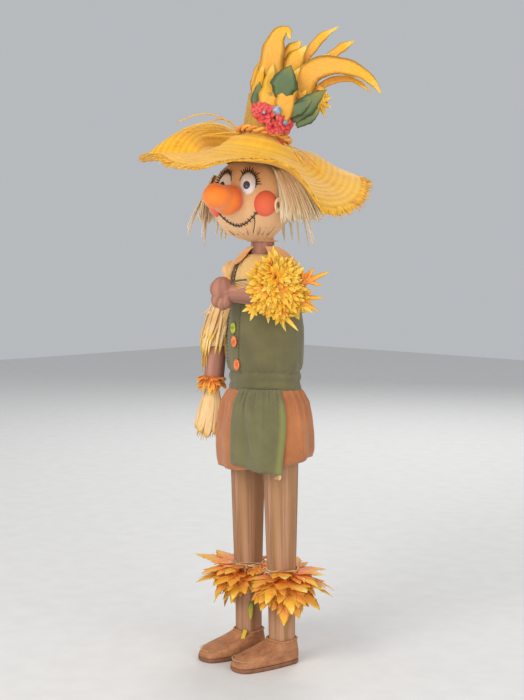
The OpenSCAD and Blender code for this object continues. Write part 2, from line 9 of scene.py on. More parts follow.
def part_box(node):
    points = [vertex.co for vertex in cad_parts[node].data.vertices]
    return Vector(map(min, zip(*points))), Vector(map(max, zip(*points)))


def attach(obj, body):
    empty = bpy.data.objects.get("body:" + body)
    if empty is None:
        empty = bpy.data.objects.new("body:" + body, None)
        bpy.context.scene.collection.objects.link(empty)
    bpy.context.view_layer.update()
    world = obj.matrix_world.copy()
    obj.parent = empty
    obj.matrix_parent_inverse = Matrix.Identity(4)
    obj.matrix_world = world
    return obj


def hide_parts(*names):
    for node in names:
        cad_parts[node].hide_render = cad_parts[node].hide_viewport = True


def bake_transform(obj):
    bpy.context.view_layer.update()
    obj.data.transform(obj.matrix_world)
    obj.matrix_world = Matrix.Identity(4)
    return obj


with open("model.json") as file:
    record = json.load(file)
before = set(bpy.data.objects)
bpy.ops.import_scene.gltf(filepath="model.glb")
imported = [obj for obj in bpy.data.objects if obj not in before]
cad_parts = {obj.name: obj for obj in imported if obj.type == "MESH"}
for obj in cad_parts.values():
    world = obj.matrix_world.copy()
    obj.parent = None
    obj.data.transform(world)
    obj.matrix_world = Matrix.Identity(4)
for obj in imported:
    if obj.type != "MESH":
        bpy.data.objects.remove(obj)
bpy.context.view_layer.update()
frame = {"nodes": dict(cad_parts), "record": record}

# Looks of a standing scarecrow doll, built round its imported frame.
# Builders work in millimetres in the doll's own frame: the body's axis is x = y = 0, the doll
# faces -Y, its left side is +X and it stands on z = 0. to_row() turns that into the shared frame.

MM = 0.001
RNG = np.random.default_rng(11)
draw = RNG.uniform
RECORD = frame["record"]
BODY_OF = {node: body for body, nodes in RECORD["behaviour"]["bodies"].items() for node in nodes}
UP = np.array([0.0, 0.0, 1.0])

# Places, in millimetres in the doll's frame. The viewer stands at its front left.
SPINE_AHEAD = 3


def row_middle(node):
    """Middle of a CAD node, in millimetres in the shared frame."""
    low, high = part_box(node)
    return np.array((low + high) / 2) / MM


AXIS = row_middle("spine") * (1, 1, 0) + (0, SPINE_AHEAD, 0)


def to_row(points):
    return (np.asarray(points, float) + AXIS) * MM


def middle(node):
    return row_middle(node) - AXIS


NECK = np.array([0.0, -3.0, 396.0])
BODY_DEPTH = 0.84
LEG_X = 22
HEAD = middle("head_cover") * (1, 1, 0) + (0, 0, 434)
HEAD_R = 39.5
FACE_TURN = 20.6
SEAM_AT = 27.7
HAT = -AXIS + (0, 0, 454)
HAT_TILT = 14.3
HAT_LEAN = 70.6
VIEW_SIDE = 45
CROWN_R = 21
RIGHT_ELBOW = np.array([-45.0, -18.0, 316.0])
RIGHT_WRIST = np.array([-50.0, -25.0, 256.0])
SHOWN_WRIST = np.array([-47.6, -22.6, 256.0])
LEFT_SHOULDER = np.array([37.0, -3.0, 364.0])
LEFT_ELBOW = np.array([47.0, -21.0, 346.0])
LEFT_REACH = -151
WAIST = 256.5
TO_VIEWER = np.array([0.7071, -0.7071, 0])
VIEW_RIGHT = np.array([0.7071, 0.7071, 0])


# ---------------------------------------------------------------- vectors

def sin_deg(angle):
    return math.sin(math.radians(angle))


def cos_deg(angle):
    return math.cos(math.radians(angle))


def arc(angle, first, second):
    """Direction that an angle in radians turns from a first axis towards a second."""
    return math.cos(angle) * first + math.sin(angle) * second


def polar(radius, degrees, z=0.0):
    angle = math.radians(degrees)
    return np.array([radius * math.cos(angle), radius * math.sin(angle), z])


def unit(vector):
    return vector / (np.linalg.norm(vector) or 1.0)


def across(vector, reference=UP):
    side = np.cross(vector, reference)
    if np.linalg.norm(side) < 1e-3:
        side = np.cross(vector, (1.0, 0.0, 0.0))
    return unit(side)


def bow(start, bend, end, count):
    t = np.linspace(0, 1, count)[:, None]
    start, bend, end = (np.asarray(p, float) for p in (start, bend, end))
    return (1 - t) ** 2 * start + 2 * t * (1 - t) * bend + t ** 2 * end


def spline(points, count):
    """Evenly parted points on a smooth curve through the given ones."""
    points = np.asarray(points, float)
    padded = np.vstack([2 * points[0] - points[1], points, 2 * points[-1] - points[-2]])
    places = np.linspace(0, len(points) - 1, count)
    curve = []
    for place in places:
        i = min(int(place), len(points) - 2)
        t = place - i
        a, b, c, d = padded[i:i + 4]
        curve.append(0.5 * (2 * b + (c - a) * t + (2 * a - 5 * b + 4 * c - d) * t ** 2
                            + (3 * b - a - 3 * c + d) * t ** 3))
    return np.array(curve)


def ease(low, high, value):
    t = np.clip((np.asarray(value, float) - low) / (high - low), 0, 1)
    return t * t * (3 - 2 * t)


def bump_at(value, middle_value, half_width):
    """1 at the middle, falling smoothly to 0 half a width away."""
    t = np.clip(np.abs(np.asarray(value, float) - middle_value) / half_width, 0, 1)
    return (1 - t * t) ** 2


def wrap(degrees):
    return (np.asarray(degrees, float) + 180) % 360 - 180


def turn_z(degrees):
    return np.array(Matrix.Rotation(math.radians(degrees), 3, "Z"))


def turn_y(degrees):
    return np.array(Matrix.Rotation(math.radians(degrees), 3, "Y"))


def taper(count, places, values):
    """Values at even steps from 0 to 1, read off a line through the given places."""
    return np.interp(np.linspace(0, 1, count), places, values)


def rings(levels, sides, place):
    """Rows of points, one closed ring for each level. place() takes an angle in degrees and a level."""
    return [[place(360 * j / sides, level) for j in range(sides)] for level in levels]


# ---------------------------------------------------------------- meshes

class Shape:
    """Collects points and faces, with a tone and a place along the piece for each point."""

    def __init__(self):
        self.points, self.faces, self.uvs, self.tones, self.alongs = [], [], [], [], []
        self.count = 0

    def add(self, points, faces, uv=None, tone=0.5, along=0.5):
        points = np.asarray(points, float).reshape(-1, 3)
        size = len(points)
        self.points.append(points)
        self.faces += [[self.count + i for i in face] for face in faces]
        self.uvs.append(np.zeros((size, 2)) if uv is None else np.asarray(uv, float).reshape(-1, 2))
        self.tones.append(np.broadcast_to(np.asarray(tone, float).ravel(), (size,)))
        self.alongs.append(np.broadcast_to(np.asarray(along, float).ravel(), (size,)))
        self.count += size

    def grid(self, rows, closed=True, caps=False, tone=0.5, along=None):
        """A surface through rows of points, each row a ring if it is closed. UVs are millimetres."""
        rows = np.asarray(rows, float)
        high, wide = rows.shape[:2]
        faces = []
        for i in range(high - 1):
            for j in range(wide if closed else wide - 1):
                k = (j + 1) % wide
                faces.append([i * wide + j, i * wide + k, (i + 1) * wide + k, (i + 1) * wide + j])
        if caps:
            faces.append(list(range(wide))[::-1])
            faces.append([(high - 1) * wide + j for j in range(wide)])
        step_u = np.linalg.norm(np.diff(rows, axis=1, prepend=rows[:, :1]), axis=2)
        step_v = np.linalg.norm(np.diff(rows, axis=0, prepend=rows[:1]), axis=2)
        u = np.cumsum(step_u, axis=1).mean(axis=0)
        v = np.cumsum(step_v, axis=0).mean(axis=1)
        uv = np.stack(np.meshgrid(u, v), axis=2)
        if along is None:
            along = np.repeat(np.linspace(0, 1, high), wide)
        self.add(rows, faces, uv, tone, along)

    def tube(self, path, radius, sides=6, tone=0.5):
        """A round cord along a path, closed at both ends."""
        path = np.asarray(path, float)
        radii = np.broadcast_to(np.asarray(radius, float), (len(path),))
        heading = np.gradient(path, axis=0)
        side = across(heading[0])
        rows = []
        for point, direction, r in zip(path, heading, radii):
            direction = unit(direction)
            side = unit(side - direction * np.dot(side, direction))
            out = np.cross(direction, side)
            turns = np.arange(sides) * 2 * math.pi / sides
            rows.append([point + r * arc(a, side, out) for a in turns])
        self.grid(rows, caps=True, tone=tone)

    def blade(self, path, normal, half_widths, thick=0.35, tone=0.5, start=0.0, end=1.0, groove=0.3):
        """A thin leaf or strip along a path, with a sunk midrib and a solid section."""
        path = np.asarray(path, float)
        heading = np.gradient(path, axis=0)
        rows = []
        for point, direction, half in zip(path, heading, half_widths):
            direction = unit(direction)
            side = across(direction, normal)
            out = np.cross(side, direction)
            rise = min(thick, half)
            rows.append([
                point + side * half,
                point + side * half * 0.5 + out * rise * (1 + groove),
                point + out * rise * (1 - groove),
                point - side * half * 0.5 + out * rise * (1 + groove),
                point - side * half,
                point - out * rise,
            ])
        along = np.repeat(np.linspace(start, end, len(path)), 6)
        self.grid(rows, caps=True, tone=tone, along=along)


def make(shape, name, look, node=None, body=None, replace=True):
    """Turns a shape into an object that rides with, and by default stands for, a CAD node.
    The body "blended" leaves it free, attached to no body."""
    mesh = bpy.data.meshes.new(name)
    points = to_row(np.concatenate(shape.points))
    mesh.from_pydata(points.tolist(), [], shape.faces)
    mesh.update()
    layer = mesh.uv_layers.new(name="UVMap")
    uvs = np.concatenate(shape.uvs)
    corners = np.zeros(len(mesh.loops), int)
    mesh.loops.foreach_get("vertex_index", corners)
    layer.data.foreach_set("uv", uvs[corners].ravel())
    for label, values in (("tone", shape.tones), ("along", shape.alongs)):
        attribute = mesh.attributes.new(label, "FLOAT", "POINT")
        attribute.data.foreach_set("value", np.concatenate(values).astype(np.float32))
    mesh.polygons.foreach_set("use_smooth", [True] * len(mesh.polygons))
    obj = bpy.data.objects.new(name, mesh)
    bpy.context.scene.collection.objects.link(obj)
    mesh.materials.append(LOOKS[look])
    if body != "blended":
        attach(obj, body or BODY_OF[node])
    if node:
        if replace:
            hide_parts(node)
    return obj


def surface(rows, name, look, node, body=None, **grid):
    """Makes an object of one grid of points."""
    shape = Shape()
    shape.grid(rows, **grid)
    return make(shape, name, look, node, body)


def apply_modifier(obj, kind, **settings):
    modifier = obj.modifiers.new(kind.title(), kind)
    for key, value in settings.items():
        setattr(modifier, key, value)
    bpy.context.view_layer.objects.active = obj
    with bpy.context.temp_override(object=obj, active_object=obj):
        bpy.ops.object.modifier_apply(modifier=modifier.name)


def thicken(obj, millimetres, offset=-1):
    apply_modifier(obj, "SOLIDIFY", thickness=millimetres * MM, offset=offset)


def refine(obj):
    apply_modifier(obj, "SUBSURF", levels=1)


# ---------------------------------------------------------------- materials

def paint(red, green, blue):
    """A colour given as screen values from 0 to 255."""
    def linear(value):
        value /= 255
        return value / 12.92 if value <= 0.04045 else ((value + 0.055) / 1.055) ** 2.4
    return (linear(red), linear(green), linear(blue), 1.0)


class Look:
    """A material whose nodes are added by short calls."""

    def __init__(self, name, rough=0.85, **values):
        self.material = bpy.data.materials.new(name)
        self.material.use_nodes = True
        self.tree = self.material.node_tree
        self.shader = self.tree.nodes["Principled BSDF"]
        self.put("Roughness", rough)
        for label, value in values.items():
            self.put(label.replace("_", " "), value)

    def put(self, label, value):
        if isinstance(value, bpy.types.NodeSocket):
            self.tree.links.new(value, self.shader.inputs[label])
        else:
            self.shader.inputs[label].default_value = value

    def node(self, kind, inputs, output=0, **settings):
        made = self.tree.nodes.new("ShaderNode" + kind)
        for key, value in settings.items():
            setattr(made, key, value)
        for key, value in inputs.items():
            if isinstance(value, bpy.types.NodeSocket):
                self.tree.links.new(value, made.inputs[key])
            else:
                made.inputs[key].default_value = value
        return made.outputs[output]

    def where(self, stretch=(1, 1, 1), source="Object"):
        """Coordinates in metres from the object, or in millimetres from its UVs."""
        coordinates = self.node("TexCoord", {}, source)
        return self.node("Mapping", {"Vector": coordinates, "Scale": stretch})

    def noise(self, place, scale, detail=4.0, rough=0.55):
        settings = {"Vector": place, "Scale": scale, "Detail": detail, "Roughness": rough}
        return self.node("TexNoise", settings)

    def value(self, name):
        return self.node("Attribute", {}, "Fac", attribute_name=name)

    def math(self, operation, a, b=0.0):
        return self.node("Math", {0: a, 1: b}, operation=operation)

    def add(self, a, b):
        return self.math("ADD", a, b)

    def times(self, a, b):
        return self.math("MULTIPLY", a, b)

    def centred(self, value):
        return self.math("SUBTRACT", value, 0.5)

    def ramp(self, factor, stops):
        output = self.node("ValToRGB", {"Fac": factor})
        elements = output.node.color_ramp.elements
        while len(elements) < len(stops):
            elements.new(0.5)
        for element, (position, colour) in zip(elements, stops):
            element.position = position
            element.color = colour
        return output

    def spread(self, value, low, high):
        return self.node("MapRange", {"Value": value, "To Min": low, "To Max": high})

    def mix(self, factor, a, b, mode="MIX"):
        return self.node("MixRGB", {"Fac": factor, "Color1": a, "Color2": b}, blend_type=mode)

    def bump(self, height, depth, strength=1.0):
        """Relief of a depth in millimetres."""
        self.put("Normal",
                 self.node("Bump", {"Height": height, "Distance": depth * MM, "Strength": strength}))

    def done(self, colour):
        self.put("Base Color", colour)
        return self.material


def cloth(name, light, dark, thread=1.0, worn=0.35, border=None):
    """Plain weave whose threads follow the UVs, with faded patches and a border where the tone is 1."""
    look = Look(name, 0.9, Sheen_Weight=0.25, Sheen_Roughness=0.5)
    uv = look.where(source="UV")
    threads = {"Vector": uv, "Scale": 0.31 / thread, "Distortion": 0.6, "Detail": 2.0}
    warp = look.node("TexWave", threads, "Fac", bands_direction="X")
    weft = look.node("TexWave", threads, "Fac", bands_direction="Y")
    weave = look.times(look.add(warp, weft), 0.5)
    patches = look.noise(look.where(), 38, 5)
    slubs = look.noise(look.where((0.25, 1.6, 1), "UV"), 0.9, 3)
    tone = look.add(look.times(patches, 0.75), look.times(slubs, 0.35))
    colour = look.ramp(tone, [(0.5 - worn * 0.5, dark), (0.5 + worn * 0.6, light)])
    colour = look.mix(0.22, colour, look.ramp(weave, [(0.2, dark), (0.8, light)]), "MULTIPLY")
    look.bump(look.add(weave, look.times(slubs, 0.6)), 0.25)
    if border:
        colour = look.mix(look.times(look.value("tone"), 0.8), colour, border)
    return look.done(colour)


def bark(name, light, dark, glow, bands):
    """Rough wrapped trunk with long streaks that follow the UVs and broad bands of another colour."""
    look = Look(name, 0.82)
    streaks = look.noise(look.where((1, 0.03, 1), "UV"), 0.2, 5, 0.55)
    fine = look.noise(look.where((1, 0.06, 1), "UV"), 1.3, 4)
    broad = look.noise(look.where((1, 0.05, 1), "UV"), 0.11, 2)
    tone = look.add(look.times(streaks, 0.9), look.times(fine, 0.13))
    colour = look.ramp(tone, [(0.36, dark), (0.5, light), (0.68, glow)])
    colour = look.mix(look.ramp(broad, [(0.42, (0, 0, 0, 1)), (0.6, (0.7, 0.7, 0.7, 1))]), colour, bands)
    look.bump(tone, 0.9)
    return look.done(colour)


def leafy(name, stops, mottle=0.3):
    """Printed leaf cloth that changes colour from base to tip, with veins and blotches."""
    look = Look(name, 0.55, Subsurface_Weight=0.08, Subsurface_Scale=0.002)
    blotches = look.noise(look.where(), 130, 5, 0.6)
    veins = look.noise(look.where((1.6, 0.12, 1), "UV"), 1.1, 4)
    shift = look.times(look.centred(blotches), mottle * 2)
    tone = look.times(look.centred(look.value("tone")), 0.45)
    place = look.add(look.add(look.value("along"), shift), tone)
    colour = look.ramp(place, stops)
    shade = look.ramp(veins, [(0.25, (0.72, 0.66, 0.6, 1)), (0.6, (1, 1, 1, 1))])
    look.bump(look.add(veins, blotches), 0.35)
    return look.done(look.mix(0.55, colour, shade, "MULTIPLY"))


def fibre(name, light, middle_tone, dark, across_scale=2.2, tip=None):
    """Dry straw, raffia or husk with fine lengthwise fibres and strands of different tones."""
    look = Look(name, 0.72, Sheen_Weight=0.15)
    fibres = look.noise(look.where((1, 0.05, 1), "UV"), across_scale, 5, 0.6)
    patches = look.noise(look.where(), 45, 3)
    tone = look.add(look.times(fibres, 0.6), look.times(look.value("tone"), 0.45))
    tone = look.add(tone, look.times(look.centred(patches), 0.35))
    colour = look.ramp(tone, [(0.3, dark), (0.5, middle_tone), (0.72, light)])
    if tip:
        at_tip = look.ramp(look.value("along"), [(0.8, (0, 0, 0, 1)), (0.97, (1, 1, 1, 1))])
        colour = look.mix(at_tip, colour, tip)
    look.bump(fibres, 0.4)
    return look.done(colour)


def felt(name, light, dark):
    """Soft felt or flocked foam that runs from dark at its base to light at its tip."""
    look = Look(name, 0.92, Sheen_Weight=0.4, Sheen_Roughness=0.4)
    fluff = look.noise(look.where(), 900, 6, 0.7)
    patches = look.noise(look.where(), 70, 4)
    place = look.add(look.value("along"), look.times(look.centred(patches), 0.7))
    colour = look.ramp(place, [(0.15, dark), (0.75, light)])
    colour = look.mix(0.15, colour, look.ramp(fluff, [(0.3, dark), (0.7, light)]))
    look.bump(fluff, 0.25)
    return look.done(colour)


def hide(name, light, dark, grain=420, rough=0.6):
    """Worn leather with a pebble grain, scuffs and darker low places."""
    look = Look(name, rough)
    cells = look.node("TexVoronoi", {"Vector": look.where(), "Scale": grain}, "Distance")
    scuffs = look.noise(look.where((1, 1, 2.5)), 60, 6, 0.65)
    streaks = look.noise(look.where((3, 1, 1)), 150, 4)
    colour = look.ramp(look.add(look.times(scuffs, 0.75), look.times(streaks, 0.3)),
                       [(0.38, dark), (0.66, light)])
    look.bump(look.add(cells, scuffs), 0.3)
    look.put("Roughness", look.spread(scuffs, rough - 0.12, rough + 0.2))
    return look.done(colour)


def glossy(name, colour, deep, rough=0.18):
    """Moulded glossy plastic or glass with faint swirls and dust."""
    look = Look(name, rough, Coat_Weight=0.6, Coat_Roughness=0.1)
    swirls = look.noise(look.where(), 240, 3)
    dust = look.noise(look.where(), 1500, 2)
    look.put("Roughness", look.spread(dust, rough, rough + 0.18))
    look.bump(swirls, 0.05)
    return look.done(look.ramp(swirls, [(0.35, deep), (0.65, colour)]))


def metal(name):
    look = Look(name, 0.35, Metallic=1.0)
    brushed = look.noise(look.where((1, 1, 0.05)), 900, 3)
    look.bump(brushed, 0.05)
    return look.done(look.ramp(brushed, [(0.3, (0.42, 0.42, 0.44, 1)), (0.7, (0.66, 0.66, 0.68, 1))]))


def timber(name):
    look = Look(name, 0.6)
    rings = {"Vector": look.where((1, 1, 0.12)), "Scale": 90.0, "Distortion": 5.0, "Detail": 3.0}
    grain = look.node("TexWave", rings, "Fac")
    look.bump(grain, 0.15)
    return look.done(look.ramp(grain, [(0.2, paint(186, 146, 100)), (0.8, paint(222, 190, 146))]))


def stuffing(name):
    look = Look(name, 0.95)
    cells = look.node("TexVoronoi", {"Vector": look.where(), "Scale": 700.0}, "Distance")
    look.bump(cells, 0.6)
    return look.done(look.ramp(cells, [(0.1, paint(205, 198, 178)), (0.6, paint(240, 236, 222))]))


YELLOW = paint(240, 181, 40)
AMBER = paint(244, 164, 62)
PALE_YELLOW = paint(246, 214, 110)
ORANGE = paint(242, 134, 48)
RED = paint(232, 96, 44)

LOOKS = {
    "steel": metal("steel"),
    "wood": timber("bare_wood"),
    "foam": stuffing("foam"),
    "nylon": glossy("nylon", paint(235, 235, 230), paint(220, 220, 214), 0.4),
    "bark": bark("bark", paint(172, 128, 98), paint(120, 80, 54), paint(198, 150, 120),
                 paint(158, 116, 72)),
    "arm_bark": bark("arm_bark", paint(168, 116, 92), paint(130, 86, 70), paint(188, 136, 114),
                     paint(158, 110, 96)),
    "sole": hide("sole", paint(150, 98, 64), paint(112, 70, 44)),
    "shoe": hide("shoe", paint(190, 130, 86), paint(146, 94, 60), 520, 0.68),
    "strap": hide("strap", paint(120, 92, 66), paint(70, 52, 38)),
    "skirt": cloth("skirt_cloth", paint(206, 134, 78), paint(168, 102, 56)),
    "green": cloth("green_cloth", paint(126, 118, 78), paint(100, 94, 58)),
    "apron": cloth("apron_cloth", paint(130, 124, 84), paint(106, 102, 66), border=paint(134, 134, 72)),
    "blouse": cloth("blouse_cloth", paint(248, 212, 140), paint(228, 184, 112), 0.8),
    "collar": felt("collar_felt", paint(240, 188, 124), paint(218, 154, 92)),
    "face": cloth("face_cloth", paint(250, 212, 164), paint(232, 184, 130), 0.9, 0.4),
    "nose": felt("nose_felt", paint(250, 138, 50), paint(226, 96, 44)),
    "cheek": felt("cheek_felt", paint(244, 120, 82), paint(226, 96, 70)),
    "eye": glossy("eye_white", paint(244, 244, 248), paint(232, 232, 240), 0.25),
    "pupil": glossy("pupil", paint(70, 86, 112), paint(34, 40, 54), 0.12),
    "thread": fibre("thread", paint(72, 58, 44), paint(46, 38, 32), paint(22, 18, 16)),
    "hair": fibre("hair_raffia", paint(255, 244, 216), paint(252, 228, 186), paint(236, 196, 146)),
    "tie": fibre("tie_raffia", paint(240, 214, 170), paint(212, 176, 128), paint(150, 112, 74)),
    "husk": fibre("husk", paint(246, 212, 158), paint(232, 186, 122), paint(196, 142, 76), 1.6,
                  paint(238, 190, 60)),
    "straw": fibre("straw", paint(250, 194, 46), paint(236, 172, 24), paint(204, 136, 10), 1.1),
    "loose_straw": fibre("loose_straw", paint(248, 200, 66), paint(234, 172, 32), paint(200, 134, 16)),
    "crown": fibre("crown_straw", paint(226, 172, 60), paint(186, 140, 50), paint(110, 92, 44)),
    "band": fibre("band", paint(244, 186, 76), paint(232, 150, 52), paint(196, 110, 40)),
    "ruff": leafy("ruff_leaf",
                  [(0.0, RED), (0.3, ORANGE), (0.62, AMBER), (0.85, YELLOW), (1.1, PALE_YELLOW)]),
    "burst": leafy("burst_leaf",
                   [(0.0, ORANGE), (0.25, paint(242, 160, 40)), (0.5, YELLOW),
                    (0.8, paint(236, 190, 60)), (1.0, PALE_YELLOW)], 0.35),
    "plume": leafy("plume_leaf", [(0.0, paint(226, 160, 40)), (0.4, paint(240, 172, 60)), (0.75, YELLOW),
                                  (1.0, PALE_YELLOW)], 0.25),
    "green_leaf": leafy("green_leaf", [(0.0, paint(84, 104, 60)), (0.6, paint(92, 112, 74)),
                                       (1.0, paint(140, 132, 58))], 0.25),
    "stem": leafy("stem_leaf", [(0.0, paint(120, 140, 40)), (1.0, paint(220, 190, 50))]),
    "flower": leafy("flower_petal", [(0.0, paint(176, 34, 40)), (0.5, paint(214, 52, 58)),
                                     (1.0, paint(228, 110, 92))], 0.25),
    "berry": glossy("berry", paint(178, 196, 214), paint(96, 120, 150)),
    "green_button": glossy("green_button", paint(190, 190, 48), paint(140, 146, 30)),
    "orange_button": glossy("orange_button", paint(236, 134, 66), paint(216, 104, 44)),
}

CAD_LOOKS = {
    "steel": "foot_weights foot_screws hip_screws shoulder_axle axle_caps right_elbow_pin left_elbow_pin",
    "wood": "hip_block spine chest_block right_upper_arm left_upper_arm",
    "foam": "torso_foam head_core crown_foam",
    "nylon": "neck_bush",
    "sole": "left_shoe_sole right_shoe_sole",
}


def dress_cad_nodes():
    for look, names in CAD_LOOKS.items():
        for name in names.split():
            mesh = frame["nodes"][name].data
            mesh.materials.clear()
            mesh.materials.append(LOOKS[look])


# ---------------------------------------------------------------- camera, light and floor

def add_camera():
    """The view from the doll's front left, a little above its chest."""
    distance, height, off_centre = 1.234, 0.386, 0.0029
    lens, film, framing = 66.9, 36, -0.143
    towards = np.array([sin_deg(VIEW_SIDE), -cos_deg(VIEW_SIDE), 0])
    right = np.array([-towards[1], towards[0], 0])
    base = AXIS * MM - right * off_centre
    camera = bpy.data.objects.new("camera", bpy.data.cameras.new("camera"))
    bpy.context.scene.collection.objects.link(camera)
    camera.data.sensor_fit = "VERTICAL"
    camera.data.sensor_height = film
    camera.data.lens = lens
    camera.data.shift_y = framing
    camera.location = base + towards * distance + UP * height
    aim = Vector(base + UP * height)
    camera.rotation_euler = (aim - camera.location).to_track_quat("-Z", "Y").to_euler()
    bpy.context.scene.camera = camera


def add_light(name, place, power, size, warmth=(1, 1, 1)):
    light = bpy.data.objects.new(name, bpy.data.lights.new(name, "AREA"))
    bpy.context.scene.collection.objects.link(light)
    light.data.energy = power
    light.data.size = size
    light.data.color = warmth
    light.location = place
    aim = Vector((0, 0, 0.33))
    light.rotation_euler = (aim - light.location).to_track_quat("-Z", "Y").to_euler()


def add_studio():
    """Pale paper floor, a grey sky and four soft lights."""
    floor_half = 3.0
    mesh = bpy.data.meshes.new("floor")
    corners = [(-floor_half, -floor_half, 0), (floor_half, -floor_half, 0),
               (floor_half, floor_half, 0), (-floor_half, floor_half, 0)]
    mesh.from_pydata(corners, [], [[0, 1, 2, 3]])
    floor = bpy.data.objects.new("floor", mesh)
    bpy.context.scene.collection.objects.link(floor)
    look = Look("floor_paper", 0.9)
    paper = look.noise(look.where(), 40, 4)
    mesh.materials.append(look.done(look.ramp(paper, [(0.3, (0.74, 0.73, 0.71, 1)),
                                                      (0.7, (0.78, 0.77, 0.75, 1))])))
    world = bpy.data.worlds.new("studio")
    world.use_nodes = True
    world.node_tree.nodes["Background"].inputs["Color"].default_value = (0.86, 0.89, 0.93, 1)
    world.node_tree.nodes["Background"].inputs["Strength"].default_value = 0.55
    bpy.context.scene.world = world
    bpy.context.scene.view_settings.view_transform = "Standard"
    add_light("key", (0.2, -1.9, 1.5), 25, 1.2, (1.0, 0.97, 0.93))
    add_light("low", (0.9, -1.5, 0.25), 9, 1.0, (1.0, 0.97, 0.93))
    add_light("fill", (1.9, -0.1, 0.9), 13, 1.4)
    add_light("back", (-0.9, 1.5, 1.4), 14, 1.0)


# ---------------------------------------------------------------- legs and feet

def bark_rod(shape, start, end, radii, seed, sides=56, ridge=0.5):
    """A ridged trunk between two points. radii gives the radius at even steps along it."""
    rng = np.random.default_rng(seed)
    start, end = np.asarray(start, float), np.asarray(end, float)
    heading = unit(end - start)
    side = across(heading, (0.0, 1.0, 0.0))
    out = np.cross(heading, side)
    rows_count = max(14, int(np.linalg.norm(end - start) / 4))
    t = np.linspace(0, 1, rows_count)
    radius = np.interp(t, np.linspace(0, 1, len(radii)), radii)
    angle = np.arange(sides) * 2 * math.pi / sides
    waves = [(k, rng.uniform(0, 6.28), rng.uniform(-0.8, 0.8), rng.uniform(0.4, 1)) for k in (3, 5, 7, 12)]
    rows = []
    for i, r in zip(t, radius):
        wobble = sum(a * np.sin(k * angle + p + d * 3 * i) / math.sqrt(k) for k, p, d, a in waves)
        ring = r + ridge * wobble * min(1.0, r / 6)
        centre = start + (end - start) * i
        rows.append(centre + ring[:, None] * (np.cos(angle)[:, None] * side - np.sin(angle)[:, None] * out))
    shape.grid(rows, caps=True)


def legs():
    for side, name in ((1, "left_leg"), (-1, "right_leg")):
        shape = Shape()
        foot = np.array([side * LEG_X, 0, 11.0])
        top = np.array([side * LEG_X - 1.3, -1.3, 239.0])
        bark_rod(shape, foot, top, [12.2, 12.6, 14.0, 15.4, 16.6, 16.6], 3 + side, ridge=0.7)
        make(shape, name + "_bark", "bark", name)


SHOE = {"heel_r": 13.4, "toe_r": 17.6, "heel_y": 3, "toe_y": -36, "turn": -12, "sole": 4.0,
        "collar_r": 14.2, "collar_z": 22.5}


def shoe_outline(angle, inset=0.0):
    """Point of the sole's edge whose outward direction has this angle, in the shoe's frame."""
    out = polar(1, angle)
    share = float(ease(-0.6, 0.8, -out[1]))
    middle_y = SHOE["heel_y"] + (SHOE["toe_y"] - SHOE["heel_y"]) * share
    radius = SHOE["heel_r"] + (SHOE["toe_r"] - SHOE["heel_r"]) * share - inset
    return np.array([0, middle_y, 0]) + out * radius


def shoe(side, name):
    """Soft shoe: a collar round the ankle, an instep that runs down to a low round toe."""
    turn = turn_z(SHOE["turn"])
    foot = np.array([side * LEG_X, 0, 0])
    steps, toe_wall = 18, 9.5

    def upper(angle, s):
        top = polar(SHOE["collar_r"], angle)
        toe = float(ease(0.1, 0.9, -polar(1, angle)[1]))
        point = top + (shoe_outline(angle) - top) * s ** (1.0 + 0.25 * toe)
        wall = toe_wall * (1 - s ** 5) ** 0.5
        instep = (SHOE["collar_z"] - SHOE["sole"] - toe_wall) * (1 - s) ** (1.5 + 1.3 * toe)
        crease = 0.5 * math.sin(5.5 * math.radians(angle)) * bump_at(s, 0.35, 0.3) * toe
        point[2] = SHOE["sole"] + 0.15 + wall + instep + crease
        return foot + turn @ point

    rows = rings([i / (steps - 1) for i in range(steps)], 72, upper)
    obj = surface(rows[::-1], name + "_upper", "shoe", name)
    thicken(obj, 1.2)
    refine(obj)
    edges = ((0.0, 2.4), (0.1, 0.9), (1.2, 0.2), (3.4, 0.2), (SHOE["sole"], 1.0), (SHOE["sole"], 3.0))
    rows = []
    for z, inset in edges:
        rows.append([foot + turn @ (shoe_outline(a, inset) + (0, 0, z)) for a in range(0, 360, 5)])
    surface(rows, name + "_tread", "sole", name + "_sole", caps=True)
    rim = Shape()
    height, radius = SHOE["collar_z"] + 0.3, SHOE["collar_r"] - 0.2
    rim.tube([foot + turn @ polar(radius, a, height + 0.5 * sin_deg(3 * a)) for a in range(0, 361, 6)],
             1.1, 8)
    make(rim, name + "_collar_roll", "shoe", name, replace=False)
    stitches = Shape()
    for angle in np.arange(-165, -14, 5.0):
        at = foot + turn @ (shoe_outline(angle, 1.9) + (0, 0, SHOE["sole"] + 6.3))
        nxt = foot + turn @ (shoe_outline(angle + 2.8, 1.9) + (0, 0, SHOE["sole"] + 6.3))
        stitches.tube([at, (at + nxt) / 2 + (0, 0, 0.3), nxt], 0.32, 5, draw(0.2, 0.8))
    make(stitches, name + "_stitches", "tie", name, replace=False)


def shoes():
    shoe(1, "left_shoe")
    shoe(-1, "right_shoe")


# ---------------------------------------------------------------- leaves

def leaf_widths(count, half):
    """Half widths along a leaf that is broadest near its middle."""
    tip = 0.25
    t = np.linspace(0, 1, count)
    return half * np.clip((0.35 + 1.9 * t) * (1 - t) ** 0.9, 0, 1) / 0.82 + tip * (1 - t) + 0.12


def lobe(shape, base, heading, normal, length, half, curl, tone, start=0.0, end=1.0):
    """One pointed lobe that curls towards its face normal."""
    t = np.linspace(0, 1, 8)[:, None]
    path = base + heading * t * length + normal * curl * t ** 2 * length
    shape.blade(path, normal, leaf_widths(8, half), tone=tone, start=start, end=end)


